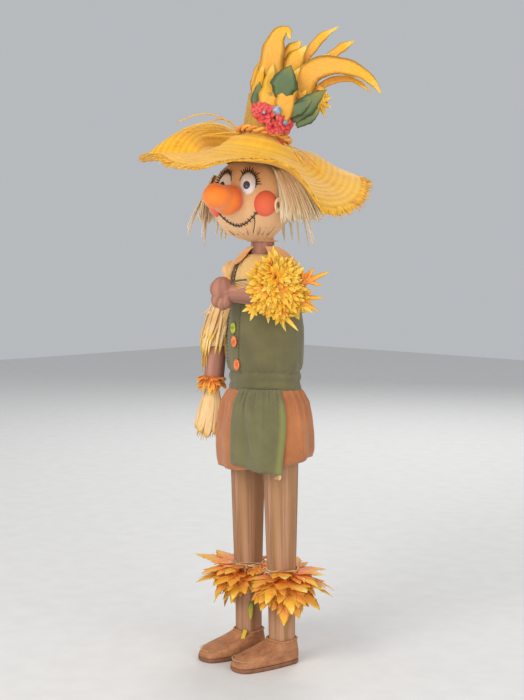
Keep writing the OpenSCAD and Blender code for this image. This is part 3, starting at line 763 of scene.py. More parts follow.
def maple(shape, base, heading, normal, size, tone, spread=1.0, teeth=True, width=1.15):
    """A maple leaf: a long middle lobe, two pairs of side lobes and small teeth beside the tips."""
    heading, normal = unit(heading), unit(normal)
    side = np.cross(heading, normal)
    for angle, share, half in ((0, 1.0, 0.17), (34, 0.8, 0.15), (-34, 0.8, 0.15), (72, 0.5, 0.12),
                               (-72, 0.5, 0.12)):
        turned = math.radians(angle * spread + draw(-6, 6))
        direction = arc(turned, heading, side)
        length = size * share * draw(0.85, 1.1)
        curl = draw(-0.3, 0.12)
        lobe(shape, base, direction, normal, length, size * half * width, curl, tone + draw(-0.08, 0.08), 0,
             share)
        if teeth and share > 0.6:
            for lean in (-38, 38):
                turned_tooth = turned + math.radians(lean)
                tooth = arc(turned_tooth, heading, side)
                root = base + direction * length * 0.42 + normal * curl * 0.18 * length
                lobe(shape, root, tooth, normal, length * 0.36, size * 0.06, curl, tone, 0.45 * share,
                     0.85 * share)


def ruffs():
    """Ruff of broad maple leaves round each shin, in rings that lie over each other."""
    # Height, radius of the roots, slope, leaf size and number of leaves
    rings = ((86, 13, 2, 30, 9), (82, 13.5, -14, 33, 10), (78, 14, -30, 29, 11), (71, 14, -48, 23, 12))
    for side, name in ((1, "left_leg_leaves"), (-1, "right_leg_leaves")):
        shape = Shape()
        for layer, (height, root_r, drop, size, count) in enumerate(rings):
            for i in range(count):
                angle = 360 * (i + 0.5 * (layer % 2)) / count + draw(-10, 10)
                facing_other = side * cos_deg(angle) < -0.45
                outward = 1 + 0.18 * max(0.0, side * cos_deg(angle))
                length = outward * size * draw(0.85, 1.2) * (0.5 if facing_other else 1.0)
                slope = drop + draw(-10, 10) - (28 if facing_other else 0)
                out = polar(1, angle)
                heading = out * cos_deg(slope) + UP * sin_deg(slope)
                normal = np.cross(across(heading), heading)
                base = polar(root_r, angle, height + draw(-2, 2)) + (side * LEG_X, 0, 0)
                maple(shape, base, heading, normal, length, draw(0.3, 0.75), 0.85, width=1.5)
        make(shape, name.replace("_leaves", "_ruff"), "ruff", name)


def raffia_ring(shape, centre, radius, height, count, fat=0.45, wander=1.2):
    """Strands of raffia wound round a limb, none of them quite level."""
    for _ in range(count):
        phase, lean, lift = draw(0, 360), draw(-1, 1) * wander, draw(-1, 1) * height / 2
        turns = draw(0.55, 1.05) * 360
        path = []
        for a in np.linspace(0, turns, 30):
            r = radius + 0.5 * sin_deg(3.3 * a + phase) + draw(0, 0.25)
            path.append(centre + polar(r, a + phase, lift + lean * sin_deg(a) + 0.6 * sin_deg(4.1 * a)))
        shape.tube(path, draw(0.6, 1.2) * fat, 5, draw(0, 1))


def leg_ties():
    shape = Shape()
    for side in (1, -1):
        centre = np.array([side * LEG_X, 0, 86.0])
        raffia_ring(shape, centre, 14.6, 5, 16)
        for _ in range(16):
            angle = draw(0, 360)
            start = centre + polar(14.6, angle, draw(-2, 2))
            end = centre + polar(draw(17, 23), angle + draw(-25, 25), draw(-9, -1))
            bend = (start + end) / 2 + polar(2, angle, 3)
            shape.tube(bow(start, bend, end, 8), np.linspace(0.5, 0.15, 8), 5, draw(0, 1))
    make(shape, "leg_raffia_ties", "tie", "leg_ties")


def stray_stems():
    """A green stem under the ruffs and a yellow one on the right shoe."""
    shape = Shape()
    inner = np.array([-9.0, -9.0, 0.0])
    path = bow(inner + (1, -1, 52), inner + (0, -2, 44), inner + (2, -3, 36), 8)
    shape.blade(path, np.array([1.0, -1.0, 0.2]), leaf_widths(8, 3.0), tone=0.3, start=0.1, end=0.8)
    foot = np.array([-13.0, -14.0, 0.0])
    path = bow(foot + (1, 0, 26), foot + (0, -3, 18), foot + (0, -5, 11.5), 8)
    shape.blade(path, np.array([1.0, -1.0, 0.4]), np.full(8, 2.2), tone=0.7, start=0.8, end=1.0)
    make(shape, "stray_leaf_stems", "stem", body="root")


# ---------------------------------------------------------------- clothes

def oval(half_width, angle, z, depth=BODY_DEPTH):
    turned = math.radians(angle)
    return np.array([half_width * math.cos(turned), half_width * depth * math.sin(turned), z])


SKIRT_HEIGHTS = [186, 200, 215, 230, 243, 251, WAIST]
SKIRT_HALF = [48.3, 49.4, 49.2, 47.6, 45.0, 40.0, 35.8]


def skirt_half(z):
    """Half width of the skirt at a height."""
    return np.interp(z, SKIRT_HEIGHTS, SKIRT_HALF)


def gathers(angle, below, pleats, seed):
    """How far gathered cloth stands out, at an angle and a distance below its waist in millimetres."""
    rng = np.random.default_rng(seed)
    fine, coarse = 0.0, 0.0
    for k in (pleats, round(pleats * 1.37), round(pleats * 0.63)):
        fine += math.sin(math.radians(k * angle) + rng.uniform(0, 6.28))
    for k in (round(pleats * 0.22), round(pleats * 0.34)):
        coarse += math.sin(math.radians(k * angle) + rng.uniform(0, 6.28))
    near_waist = math.exp(-below / 15) * min(1.0, below / 4)
    return 0.75 * fine * near_waist + 0.85 * coarse * min(1.0, below / 30)


def skirt():
    """Gathered skirt. It was cut as a strip and pulled together at the waist."""
    def place(angle, t):
        hem = skirt_hem(angle)
        z = hem + (WAIST - hem) * t
        below = WAIST - z
        tuck = 1.3 * float(ease(0.09, 0, t))
        return oval(skirt_half(z) + gathers(angle, below, 38, 5) - tuck - creases(angle, below), angle, z)

    levels = np.concatenate([np.linspace(0, 0.76, 24), np.linspace(0.79, 1, 16)])
    obj = surface(rings(levels, 300, place), "skirt_cloth", "skirt", "skirt")
    thicken(obj, 0.9)


def skirt_hem(angle):
    """The hem hangs lower at the doll's right front."""
    return 187.0 - 5.5 * cos_deg(angle + 125) + 0.7 * sin_deg(5 * angle)


CREASES = (4, 14, 36, 60, 96, 128, 150, 186, 214, -108, -121)


def creases(angle, below):
    """How far the sharp creases under the waistband sink into the skirt."""
    fade = float(ease(1, 7, below) * ease(46, 16, below))
    return 2.1 * fade * sum(float(bump_at(wrap(angle - place), 0, 4.5)) for place in CREASES)


APRON_FROM, APRON_TO, APRON_HEM_TO = -93, -25, -31


def apron_point(share, z, out=0.0):
    """Point of the apron, by the share of the way from its right edge and by height."""
    below = WAIST - z
    edge_to = APRON_TO + (APRON_HEM_TO - APRON_TO) * float(ease(20, 75, below))
    angle = APRON_FROM + (edge_to - APRON_FROM) * share
    ridge_at = 0.30 + 0.0011 * below + 0.00005 * below ** 2
    ridge = math.exp(-((share - ridge_at) / 0.055) ** 2)
    fold = 2.6 * ridge * float(ease(0, 8, below) * ease(95, 45, below))
    valley = math.exp(-((share - ridge_at - 0.09) / 0.05) ** 2)
    fold -= 1.8 * valley * float(ease(0, 5, below) * ease(50, 14, below))
    for place, length in ((0.58, 22), (0.72, 18), (0.16, 14), (0.45, 12)):
        crease = math.exp(-((share - place) / 0.022) ** 2)
        fold -= 1.6 * crease * float(ease(0, 3, below) * ease(length, 4, below))
    fold += 1.3 * bump_at(share, 0.93, 0.1) * float(ease(4, 30, below))
    edge = 1.2 * float(ease(0.04, 0.0, share) + ease(0.965, 1.0, share))
    half = skirt_half(max(z, 186)) + 3.2 + fold + 1.2 * gathers(angle, below, 44, 9) - edge + out
    return oval(half, angle, z)


def apron():
    """Apron over the front left of the skirt, a little longer towards its left corner."""
    columns, levels = 130, 52
    rows, tones = [], []
    for t in np.arange(levels) / (levels - 1):
        for share in np.arange(columns) / (columns - 1):
            hem = 188 - 9.5 * share ** 1.2 + 0.7 * math.sin(9 * share)
            rows.append(apron_point(share, hem + (WAIST + 0.3 - hem) * t ** 0.85))
            tones.append(ease(0.84, 0.93, share) * ease(1.0, 0.7, t))
    grid = np.array(rows).reshape(levels, columns, 3)
    obj = surface(grid, "apron_cloth", "apron", "apron", closed=False, tone=tones)
    thicken(obj, 0.9, 0)
    tag = Shape()
    corner = apron_point(0.96, 180, 0.6)
    for lean in (-3.2, -1.2, 1.4):
        bend = corner + (0.4 * lean, 0.4 * lean - 1.5, -2.5)
        end = corner + (0.75 * lean - 2, 0.75 * lean - 2, -3.5 - 0.3 * lean)
        path = bow(corner + (0.2 * lean, 0.2 * lean - 1, 0.5), bend, end, 7)
        tag.blade(path, np.array([0.7, -0.7, 0.2]), np.array([1, 1.2, 1.2, 1.1, 1, 0.8, 0.3]), 0.4,
                  0.5 + 0.1 * lean)
    make(tag, "apron_corner_tag", "tie", "apron", replace=False)


def body_half(z):
    """Half width of the dressed torso above the waistband."""
    heights = [271, 274, 279, 286, 300, 312, 330, 345, 352, 358]
    halves = [34.4, 37.6, 39.2, 39.8, 39.8, 39.2, 36.8, 34.8, 33.9, 32.4]
    return np.interp(z, heights, halves)


def waistband():
    """Creased band of cloth over the tops of the skirt and the apron."""
    def place(angle, z):
        fold = 0.7 * math.sin((z - 255) * 0.62 + 0.8 * sin_deg(2 * angle))
        return oval(36.4 + fold + 0.25 * sin_deg(17 * angle), angle, z)

    obj = surface(rings(np.linspace(255.2, 274.5, 20), 200, place), "waistband_cloth", "green", "waistband")
    thicken(obj, 1.0)


def bodice():
    """Bodice that blouses over the waistband, with a placket down the doll's right front."""
    bottom, top = 271, 357

    def place(angle, z):
        angle = wrap(angle)
        placket = 0.9 * float(ease(-122, -119, angle) * ease(-90, -93, angle))
        pull = math.exp(-(z - 273) / 11) * 0.6 * sin_deg(23 * angle + 30 * sin_deg(angle))
        soft = 0.7 * math.sin(math.radians(3 * angle) + z / 13)
        soft += 0.4 * math.sin(math.radians(7 * angle) - z / 9)
        rim = top + 2 * bump_at(angle, -75, 60) - 3 * bump_at(angle, 90, 60)
        level = bottom + (z - bottom) * (rim - bottom) / (top - bottom)
        return oval(float(body_half(z)) + placket + pull + soft * 0.6, angle, level)

    heights = np.concatenate([np.linspace(bottom, 288, 16), np.linspace(290, top, 30)])
    obj = surface(rings(heights, 240, place), "bodice_cloth", "green", "bodice")
    thicken(obj, 1.2)
    seam = Shape()
    for angle in (-121, -91):
        for z in np.arange(280, 352, 3.4):
            path = [oval(float(body_half(z + d)) + 0.95, angle, z + d) for d in (0, 1, 2)]
            seam.tube(path, 0.25, 5, 0.3)
    make(seam, "placket_stitches", "thread", "bodice", replace=False)


def blouse():
    """Crinkled blouse over the shoulders, gathered in at the neck."""
    heights = [338, 350, 358, 366, 372, 377, 380, 382.5]
    halves = [31.0, 32.6, 32.4, 30.4, 27.0, 22.6, 18.6, 14.2]

    def place(angle, z):
        crinkle = 0.35 * math.sin(math.radians(19 * angle) + z / 6)
        crinkle += 0.3 * math.sin(math.radians(11 * angle) - z / 9)
        forward = 3.0 * float(ease(368, 382, z))
        return oval(float(np.interp(z, heights, halves)) + crinkle, angle, z) - (0, forward, 0)

    obj = surface(rings(np.linspace(338, 382.5, 26), 160, place), "blouse_cloth", "blouse", "blouse")
    thicken(obj, 0.8)


def collar():
    """Two round flaps that lie on the shoulders."""
    shape = Shape()
    for start, stop in ((-40, 76), (106, 262)):
        rows = []
        for s in np.linspace(0, 1, 12):
            row = []
            for j in range(40):
                share = j / 39
                corner = 1 - (2 * share - 1) ** 8
                reach = 1.0 * corner * s + (1 - corner) * s * 0.55
                angle = start + (stop - start) * share
                half = 12.5 + 20.5 * reach
                z = 389 - 16.5 * reach ** 1.5 + 1.4 * sin_deg(4 * angle) * s
                point = oval(half, angle, z, 0.86)
                point[1] += -2.6 * (1 - reach)
                row.append(point)
            rows.append(row)
        shape.grid(rows[::-1], closed=False)
    obj = make(shape, "collar_flaps", "collar", "collar")
    thicken(obj, 1.6, 0)
    refine(obj)


def straps():
    """Leather straps from the bodice over the shoulders."""
    shape = Shape()
    thread = Shape()
    for side in (1, -1):
        rows = []
        for a in np.linspace(4, 176, 44):
            turned = math.radians(a)
            centre = np.array([side * 20.0, -24.6 * math.cos(turned), 350 + 31.7 * math.sin(turned)])
            out = unit(np.array([0, -math.cos(turned), math.sin(turned)]))
            rows.append([centre + (3, 0, 0), centre + (1.5, 0, 0) + out * 0.7,
                         centre + (-1.5, 0, 0) + out * 0.7, centre + (-3, 0, 0), centre - out * 0.5])
            if int(a) % 8 < 4:
                for edge in (2.1, -2.1):
                    spot = centre + (edge, 0, 0) + out * 0.7
                    along = np.array([0, math.sin(turned), math.cos(turned)])
                    thread.tube([spot - along * 0.7, spot + out * 0.2, spot + along * 0.7], 0.22, 5, 0.8)
        shape.grid(rows, caps=True)
    make(shape, "shoulder_straps", "strap", "straps")
    make(thread, "strap_stitches", "tie", "straps", replace=False)


def button(name, node, z, angle, look):
    """Domed oval button with a rim and a hollow, sewn to the placket with two stitches."""
    tall = 1.35
    centre = oval(float(body_half(z)) + 2.3, angle, z)
    out = unit(np.array([cos_deg(angle), sin_deg(angle) / BODY_DEPTH, 0]))
    side = across(UP, out)
    profile = [(0.0, -1.0), (3.9, -1.0), (4.4, -0.2), (4.5, 0.5), (4.1, 1.2), (3.4, 1.35), (2.6, 0.9),
               (1.2, 0.75), (0.05, 0.75)]
    rows = []
    for r, h in profile:
        rows.append([centre + out * h + r * (math.cos(a) * side * 0.8 + math.sin(a) * UP * tall * 0.9)
                     for a in np.arange(32) * 2 * math.pi / 32])
    shape = Shape()
    shape.grid(rows, caps=True)
    for dx in (-0.9, 0.9):
        cross = [centre + out * 0.8 + side * dx + UP * 1.1, centre + out * 1.25,
                 centre + out * 0.8 - side * dx - UP * 1.1]
        shape.tube(cross, 0.28, 5, 0.2)
    return make(shape, name, look, node)


def buttons():
    button("green_button_dome", "green_button", 313, -101, "green_button")
    button("orange_button_dome_upper", "orange_buttons", 300.5, -98, "orange_button")
    button("orange_button_dome_lower", "orange_buttons", 279, -93.5, "orange_button")


def neck():
    shape = Shape()
    bark_rod(shape, NECK - (0, 0, 23), NECK - (0, 0, 0.5), [11.4, 11.0, 11.0], 8, ridge=0.35)
    make(shape, "neck_bark", "arm_bark", "neck_post")


# ---------------------------------------------------------------- head

def face_dir(azimuth, elevation):
    """Direction from the head's middle, by azimuth from the face's middle and elevation."""
    level = cos_deg(elevation)
    out = np.array([level * sin_deg(azimuth), -level * cos_deg(azimuth), sin_deg(elevation)])
    return turn_z(FACE_TURN) @ out


def on_face(azimuth, elevation, lift=0.0):
    return HEAD + face_dir(azimuth, elevation) * (HEAD_R + lift)


def face_axes(azimuth, elevation):
    out = face_dir(azimuth, elevation)
    side = unit(np.cross(UP, out))
    return out, side, np.cross(out, side)


def head_cover():
    """Stuffed cloth head, gathered to the neck, with a seam down the chin."""
    def place(angle, elevation):
        azimuth = angle - 180
        low = float(ease(-28, -74, elevation))
        pleat = sin_deg(15 * azimuth) + 0.6 * sin_deg(26 * azimuth + 50)
        seam = -1.5 * float(bump_at(azimuth, SEAM_AT, 4)) * float(ease(-20, -34, elevation))
        brow = 0.5 * sin_deg(9 * azimuth) * float(bump_at(elevation, 44, 20))
        radius = HEAD_R - 0.1 + 0.9 * low * pleat + seam + brow * 0.7
        point = HEAD + face_dir(azimuth, float(elevation)) * radius
        gather = float(ease(-52, -80, elevation))
        neck_ring = NECK * (1, 1, 0) + face_dir(azimuth, 0) * (13.2 + 0.8 * pleat) + (0, 0, 395.0)
        return point * (1 - gather) + neck_ring * gather

    elevations = np.concatenate([np.linspace(-90, -58, 16)[3:], np.linspace(-55, 88, 44)])
    obj = surface(rings(elevations, 180, place), "head_burlap", "face", "head_cover")
    thicken(obj, 1.2)


def nose():
    """Two bulbs in one felt skin, the outer one smaller and a little higher."""
    _, side, rise = face_axes(-5.5, 0)
    out = face_dir(-5.5, 0)
    stations = [(36, 10.5), (38.5, 12.8), (42, 14.7), (46, 15.3), (50, 14.8), (54.5, 12.9), (58, 12.2),
                (62, 12.6), (66, 12.6), (70, 11.4), (74, 8.5), (76.6, 5.0), (77.8, 1.6), (77.9, 0.2)]
    places = spline([(d, r, 0) for d, r in stations], 44)
    rows = []
    for d, r, _ in places:
        lift = 2.6 * float(ease(48, 66, d)) - 2.0
        ring = []
        for j in range(56):
            a = 2 * math.pi * j / 56
            lump = 1 + 0.02 * math.sin(3 * a + d / 8) + 0.015 * math.sin(5 * a - d / 5)
            ring.append(HEAD + out * d + rise * lift
                        + max(r, 0.1) * lump * (math.cos(a) * side + 0.92 * math.sin(a) * rise))
        rows.append(ring)
    redness = np.repeat(ease(38, 62, places[:, 0]), 56)
    refine(surface(rows, "nose_bulb", "nose", "nose", caps=True, along=redness))


def dome(shape, azimuth, elevation, half_side, half_rise, height, base=-0.6):
    """Low oval dome on the face. Its place along runs from the rim to the middle."""
    out, side, rise = face_axes(azimuth, elevation)
    rings, sides = 12, 48
    rows = []
    for i in range(rings):
        s = i / (rings - 1)
        r = math.cos(s * math.pi / 2) if i < rings - 1 else 0.01
        h = base + (height - base) * math.sin(s * math.pi / 2)
        ring = []
        for j in range(sides):
            a = 2 * math.pi * j / sides
            flat = side * half_side * r * math.cos(a) + rise * half_rise * r * math.sin(a)
            drop = HEAD_R - math.sqrt(max(HEAD_R ** 2 - np.dot(flat, flat), 0))
            ring.append(HEAD + out * (HEAD_R + h - drop * (1 - 0.35 * s)) + flat)
        rows.append(ring)
    shape.grid(rows, caps=True)


def eyes():
    """Oval eyes with pupils that look a little inward, lashes and a dark thread along each lid."""
    white, pupil, lashes, lids = Shape(), Shape(), Shape(), Shape()
    for side_sign in (1, -1):
        azimuth = 18.7 * side_sign
        dome(white, azimuth, 20, 7.6, 10.8, 3.6)
        dome(pupil, azimuth - 0.4 - 0.8 * side_sign, 15.6, 3.2, 3.9, 4.9, base=3.0)
        out, side, rise = face_axes(azimuth, 20)
        for k in np.linspace(-8, 128, 13):
            a = math.radians(k)
            outward = side * side_sign * math.cos(a) + rise * math.sin(a)
            root = HEAD + out * (HEAD_R + 0.3)
            root = root + side * side_sign * 7.5 * math.cos(a) + rise * 10.6 * math.sin(a)
            length = draw(3.4, 5.6)
            tip = root + outward * length + out * 1.2 + side * draw(-1.2, 1.2)
            bend = root + outward * length * 0.5 + out * 2.0
            lashes.tube(bow(root, bend, tip, 7), np.linspace(0.95, 0.2, 7), 5, draw(0, 0.6))
        rim = []
        for k in np.linspace(-25, 170, 40):
            a = math.radians(k)
            rim.append(HEAD + out * (HEAD_R + 0.1) + side * side_sign * 7.8 * math.cos(a)
                       + rise * 11.0 * math.sin(a))
        lids.tube(rim, 0.35, 6, 0.2)
    make(white, "eye_whites", "eye", "eyes")
    make(pupil, "eye_pupils", "pupil", "pupils")
    make(lashes, "eye_lashes", "thread", "eyes", replace=False)
    make(lids, "eye_lid_threads", "thread", "eyes", replace=False)


def cheeks():
    shape = Shape()
    for sign in (1, -1):
        dome(shape, 43.7 * sign, -8.4, 11.3, 12.2, 4.4)
    make(shape, "cheek_pads", "cheek", "cheeks")


def smile_point(t, lift=0.7):
    return on_face(31 * t, -40 + 20.5 * t * t, lift)


def mouth():
    """Stitched smile, the chin seam, and dark strokes of painted shade in the gather creases under the chin.
    """
    shape = Shape()
    shape.tube([smile_point(t) for t in np.linspace(-1, 1, 40)], 0.55, 6, 0.3)
    for t in np.linspace(-0.92, 0.96, 13):
        ahead = unit(smile_point(t + 0.02) - smile_point(t - 0.02))
        out = unit(smile_point(t) - HEAD)
        cross = np.cross(out, ahead)
        lean = ahead * draw(-0.8, 0.8)
        ends = [smile_point(t, 0.3) - cross * 2.2 - lean, smile_point(t, 1.4),
                smile_point(t, 0.3) + cross * 2.2 + lean]
        shape.tube(bow(*ends, 6), 0.38, 5, draw(0, 0.6))
    chin = [on_face(SEAM_AT + 1.5 * math.sin(k), e, -0.9)
            for k, e in zip(np.linspace(0, 4, 14), np.linspace(-26, -58, 14))]
    shape.tube(chin, 0.4, 5, 0.2)
    # Painted shade: thin dark strokes in the thread colour stand for the shade in the gather creases under
    # the chin.
    for azimuth in (-34, -16, 2, 14, 40, 52, 70):
        line = [on_face(azimuth + 0.8 * math.sin(e), e, 0.0)
                for e in np.linspace(-60, -46 + 0.08 * azimuth, 8)]
        shape.tube(line, np.linspace(0.32, 0.1, 8), 5, 0.6)
    make(shape, "mouth_stitches_and_crease_shade", "thread", "face_thread")


def ear_curl():
    """A curl of raffia at the left ear, wound round a brown middle."""
    shape, core = Shape(), Shape()
    out, side, rise = face_axes(60, -9)
    centre = HEAD + out * (HEAD_R + 2.2)
    for k in range(7):
        turns = np.linspace(0, 330, 26)
        radius = 3.0 + 0.45 * k
        path = [centre + out * (0.5 * sin_deg(a * 2 + 40 * k) + 0.25 * k)
                + radius * (cos_deg(a + 50 * k) * side * 0.8 + 1.15 * sin_deg(a + 50 * k) * rise)
                for a in turns]
        shape.tube(path, 0.75, 6, draw(0.3, 1))
    make(shape, "ear_curl_raffia", "hair", "left_hair", replace=False)
    rows = []
    for r, h in ((0.1, -1.5), (2.9, -1.5), (2.9, 0.0), (1.8, 0.8), (0.1, 1.0)):
        rows.append([centre + out * h + r * (math.cos(a) * side * 0.8 + 1.2 * math.sin(a) * rise)
                     for a in np.arange(24) * math.pi / 12])
    core.grid(rows, caps=True, tone=0.1)
    make(core, "ear_curl_core", "shoe", "left_hair", replace=False)


def hair_strand(shape, azimuth, top, bottom, flare, half, wisp=0.0):
    """A flat raffia strand that hangs from under the hat and swings outward."""
    out = face_dir(azimuth, 0)
    tangent = across(UP, out)
    start = HEAD + out * (math.sqrt(42 ** 2 - top ** 2) + 0.15 * flare) + UP * top
    bend = HEAD + out * (HEAD_R + 4 + flare * 0.45) + UP * (top * 0.5 + bottom * 0.2)
    end = HEAD + out * (HEAD_R + 3 + flare) + UP * bottom + tangent * wisp
    path = bow(start, bend, end, 12)
    t = np.linspace(0, 1, 12)
    path += tangent * (0.6 * np.sin(5 * t + azimuth))[:, None]
    widths = half * np.interp(t, [0, 0.6, 0.9, 1], [0.8, 1.0, 0.8, 0.12]) + 0.1
    shape.blade(path, out, widths, 0.28, draw(0.2, 1))


def hair():
    """Three bunches of raffia between the hat and the shoulders."""
    # Node, first and last azimuth, height of the roots, swing outward and number of strands
    bunches = (("left_hair", 62, 135, 28, 26, 240), ("right_hair", -118, -62, 20, 10, 110),
               ("back_hair", 136, 241, 33, 16, 200))
    for node, start, stop, top, flare, count in bunches:
        shape = Shape()
        for k in range(count):
            azimuth = start + (stop - start) * (k + 0.5) / count + draw(-1.5, 1.5)
            layer = draw(0, 1) ** 0.7
            fan = 1.0 if node != "left_hair" else 0.15 + 0.85 * float(ease(58, 112, azimuth))
            bottom = -20 + draw(-5, 5) + 4 * layer
            hair_strand(shape, azimuth, top + draw(-2, 3), bottom, flare * fan * (0.2 + 0.8 * layer),
                        draw(1.5, 2.9))
        for _ in range(6):
            azimuth = draw(start, stop)
            hair_strand(shape, azimuth, 4, -33 - draw(0, 12), flare * 0.6, 1.8, draw(-4, 4))
        if node == "right_hair":
            for azimuth, bottom in ((-66, -36), (-70, -31), (-64, -27), (-74, -34)):
                hair_strand(shape, azimuth, 4, bottom, 19, 2.2, 2)
        make(shape, node + "_raffia", "hair", node)


# ---------------------------------------------------------------- hat

HAT_TURN = turn_z(HAT_LEAN) @ turn_y(HAT_TILT) @ turn_z(VIEW_SIDE - HAT_LEAN)
HAT_UP = HAT_TURN @ UP


def hat_point(x, y, z):
    """Point in the hat's frame, where X is the viewer's right and -Y the trimmed side."""
    return HAT + HAT_TURN @ np.array([x, y, z], float)


def hat_ring_point(radius, angle, z):
    """Point in the hat's frame, by its distance from the hat's axis and its angle round it."""
    return hat_point(*polar(radius, angle, z))


# The brim's section, the dips round its rim, and the lobe of it that rolls up and over
BRIM_R = 107
BRIM_RADII = [19, 30, 40, 58, 80, 107]
BRIM_RISE = [38, 33, 21, 9, 3, 0]
BRIM_DIP_AT = [-180, -165, -150, -135, -115, -100, -88, -80, -70, -60, -50, -40, -25, -10, 5, 140, 160, 180]
BRIM_DIP = [8, 8, 10, 17, 17, 5, 0, -1, 4, 17, 28, 25, 14, 4, 0, 0, 6, 8]
LOBE_FROM = 52
LOBE_AT = 127
LOBE_HALF = 50
LOBE_PLACES = [0, 10, 26, 36, 46, 56]
LOBE_SLOPES = [0, 50, 60, 15, -65, -120]


def rolled(length, roll):
    """Reach and climb after a length of the lobe's straw: a gentle rise and then a tight roll."""
    steps = 20
    places = (np.arange(steps) + 0.5) / steps * length
    heading = np.radians(np.interp(places, LOBE_PLACES, LOBE_SLOPES) * roll)
    return float(np.cos(heading).sum() * length / steps), float(np.sin(heading).sum() * length / steps)


def brim_point(angle, radius):
    """The floppy brim: its rim dips at the front and its back left rolls up and over."""
    share = (radius - 19) / (BRIM_R - 19)
    rise = float(np.interp(radius, BRIM_RADII, BRIM_RISE))
    dip = float(np.interp(wrap(angle), BRIM_DIP_AT, BRIM_DIP)) * share ** 3
    lift = 34 * float(bump_at(wrap(angle - 42), 0, 75) * ease(19, 62, radius))
    wave = 1.6 * share ** 2 * sin_deg(4 * angle + 30) + 0.9 * share ** 2 * sin_deg(9 * angle)
    reach, roll = radius, float(bump_at(wrap(angle - LOBE_AT), 0, LOBE_HALF)) ** 0.35
    lift += 29 * roll * float(ease(34, 74, radius))
    if radius > LOBE_FROM and roll > 0:
        reach, climb = rolled(radius - LOBE_FROM, roll)
        reach += LOBE_FROM
        lift += climb
    groove = 0.4 * math.sin(radius * 1.05) * ease(0.1, 0.4, share)
    flat = polar(reach, angle)
    return hat_point(flat[0], flat[1], rise - dip + wave + lift + groove)


def brim():
    """Brim of sewn straw, with a ragged rim of loose fibres."""
    radii = np.concatenate([np.linspace(19, 50, 16), np.linspace(52, BRIM_R, 38)])
    sides = 288
    ragged = np.random.default_rng(21).uniform(-2.2, 1.6, sides)
    rows = []
    for radius in radii:
        edge = ease(96, BRIM_R, radius)
        rows.append([brim_point(360 * j / sides, radius + edge * ragged[j]) for j in range(sides)])
    # Painted shade: the straw's tone follows the grooves' ripple, lighter on the ridges and darker in the
    # valleys between the sewn rows.
    tones = np.repeat(0.5 + 0.35 * np.sin(radii * 1.05) * 0.5, sides)
    thicken(surface(rows[::-1], "hat_brim_straw", "straw", "hat_brim", tone=tones[::-1]), 1.6)
    fringe = Shape()
    for _ in range(430):
        angle = draw(-180, 180)
        if abs(wrap(angle - LOBE_AT)) < LOBE_HALF:
            continue
        lean = draw(-9, 9)
        start = brim_point(angle, BRIM_R - 7)
        end = brim_point(angle + lean * 0.35, BRIM_R + draw(0.5, 4.5)) + draw(-1.2, 1.2, 3)
        bend = (brim_point(angle + lean * 0.15, BRIM_R - 1) + start) / 2 + HAT_TURN @ np.array([0, 0, 0.8])
        fringe.blade(bow(start, bend, end, 6), HAT_UP, np.linspace(1.1, 0.2, 6), 0.3, draw(0, 1))
    make(fringe, "hat_brim_fringe", "loose_straw", "hat_brim", replace=False)


def hat_lining():
    """The straw cap inside the hat, between the brim and the head, and the lid of the crown."""
    lining = ((22, 35), (25, 30), (29, 23), (32, 16), (33.5, 10))
    lid = ((23.2, 77.4), (22.4, 78.6), (14, 79.2), (6, 79.4), (0.3, 79.4))
    for name, node, profile in (("hat_lining_straw", "hat_brim", lining),
                                ("hat_crown_lid", "hat_crown", lid)):
        shape = Shape()
        shape.grid(rings(profile, 60, lambda angle, level: hat_ring_point(level[0], angle, level[1])))
        thicken(make(shape, name, "crown", node, replace=False), 0.8)


def loose_straws():
    """Long straws that spring from the band over the brim, each with its angle, its reach, the
    heights of its end and its bend, and its half width."""
    straws = [(172, 88, 38, 66, 2.6), (176, 82, 30, 52, 2.2), (164, 96, 27, 44, 1.6), (170, 60, 44, 58, 2.0),
              (150, 104, 30, 36, 2.4), (0, 66, 16, 40, 2.0), (-8, 74, 8, 28, 1.2), (14, 88, 10, 26, 2.8),
              (20, 94, 2, 22, 1.4), (-16, 56, 10, 34, 1.2), (200, 60, 24, 36, 1.4), (120, 80, 34, 46, 1.4),
              (70, 80, 12, 30, 1.4), (40, 88, 8, 30, 1.6), (-30, 50, 16, 30, 1.2)]
    shape = Shape()
    for angle, reach, end_z, bend_z, half in straws:
        start = hat_ring_point(23, angle, 37)
        bend = hat_ring_point(reach * 0.6, angle + 4, bend_z)
        end = hat_ring_point(reach, angle - 5, end_z)
        path = bow(start, bend, end, 16)
        shape.blade(path, HAT_UP, np.linspace(half, 0.35, 16), 0.5, draw(0.4, 1))
    make(shape, "hat_loose_straws", "loose_straw", "hat_brim", replace=False)


def crown():
    """Sewn straw that widens a little towards the crown's top."""
    def place(angle, t):
        z = 36 + 42 * t
        radius = CROWN_R + 0.2 + 2.0 * t
        return hat_ring_point(radius + 0.35 * sin_deg(17 * angle) + 0.25 * math.sin(z), angle, z)

    rows = rings(np.linspace(0, 1, 26), 120, place)
    thicken(surface(rows, "hat_crown_straw", "crown", "hat_crown"), 1.4)


def band():
    """Two cloth cords twisted round the foot of the crown, and a red ribbon end."""
    shape = Shape()
    for phase in (0, 180):
        path = []
        for a in np.arange(0, 361, 4):
            twist = math.radians(a * 9 + phase)
            height = 42 + 1.9 * math.sin(twist)
            path.append(hat_ring_point(CROWN_R + 3.0 + 1.5 * math.cos(twist), a, height))
        shape.tube(path, 1.7, 8, 0.4 + phase / 600)
    make(shape, "hat_band_twist", "band", "hat_band")
    ribbon = Shape()
    path = [hat_ring_point(CROWN_R + 7.5 + 0.3 * k, -62 + 4.2 * k, 37.5 - 1.4 * k) for k in range(7)]
    ribbon.blade(path, HAT_TURN @ np.array([0.2, -0.8, 0.6]), np.full(7, 1.5), 0.4, 0.3)
    make(ribbon, "hat_red_ribbon", "flower", "hat_band", replace=False)


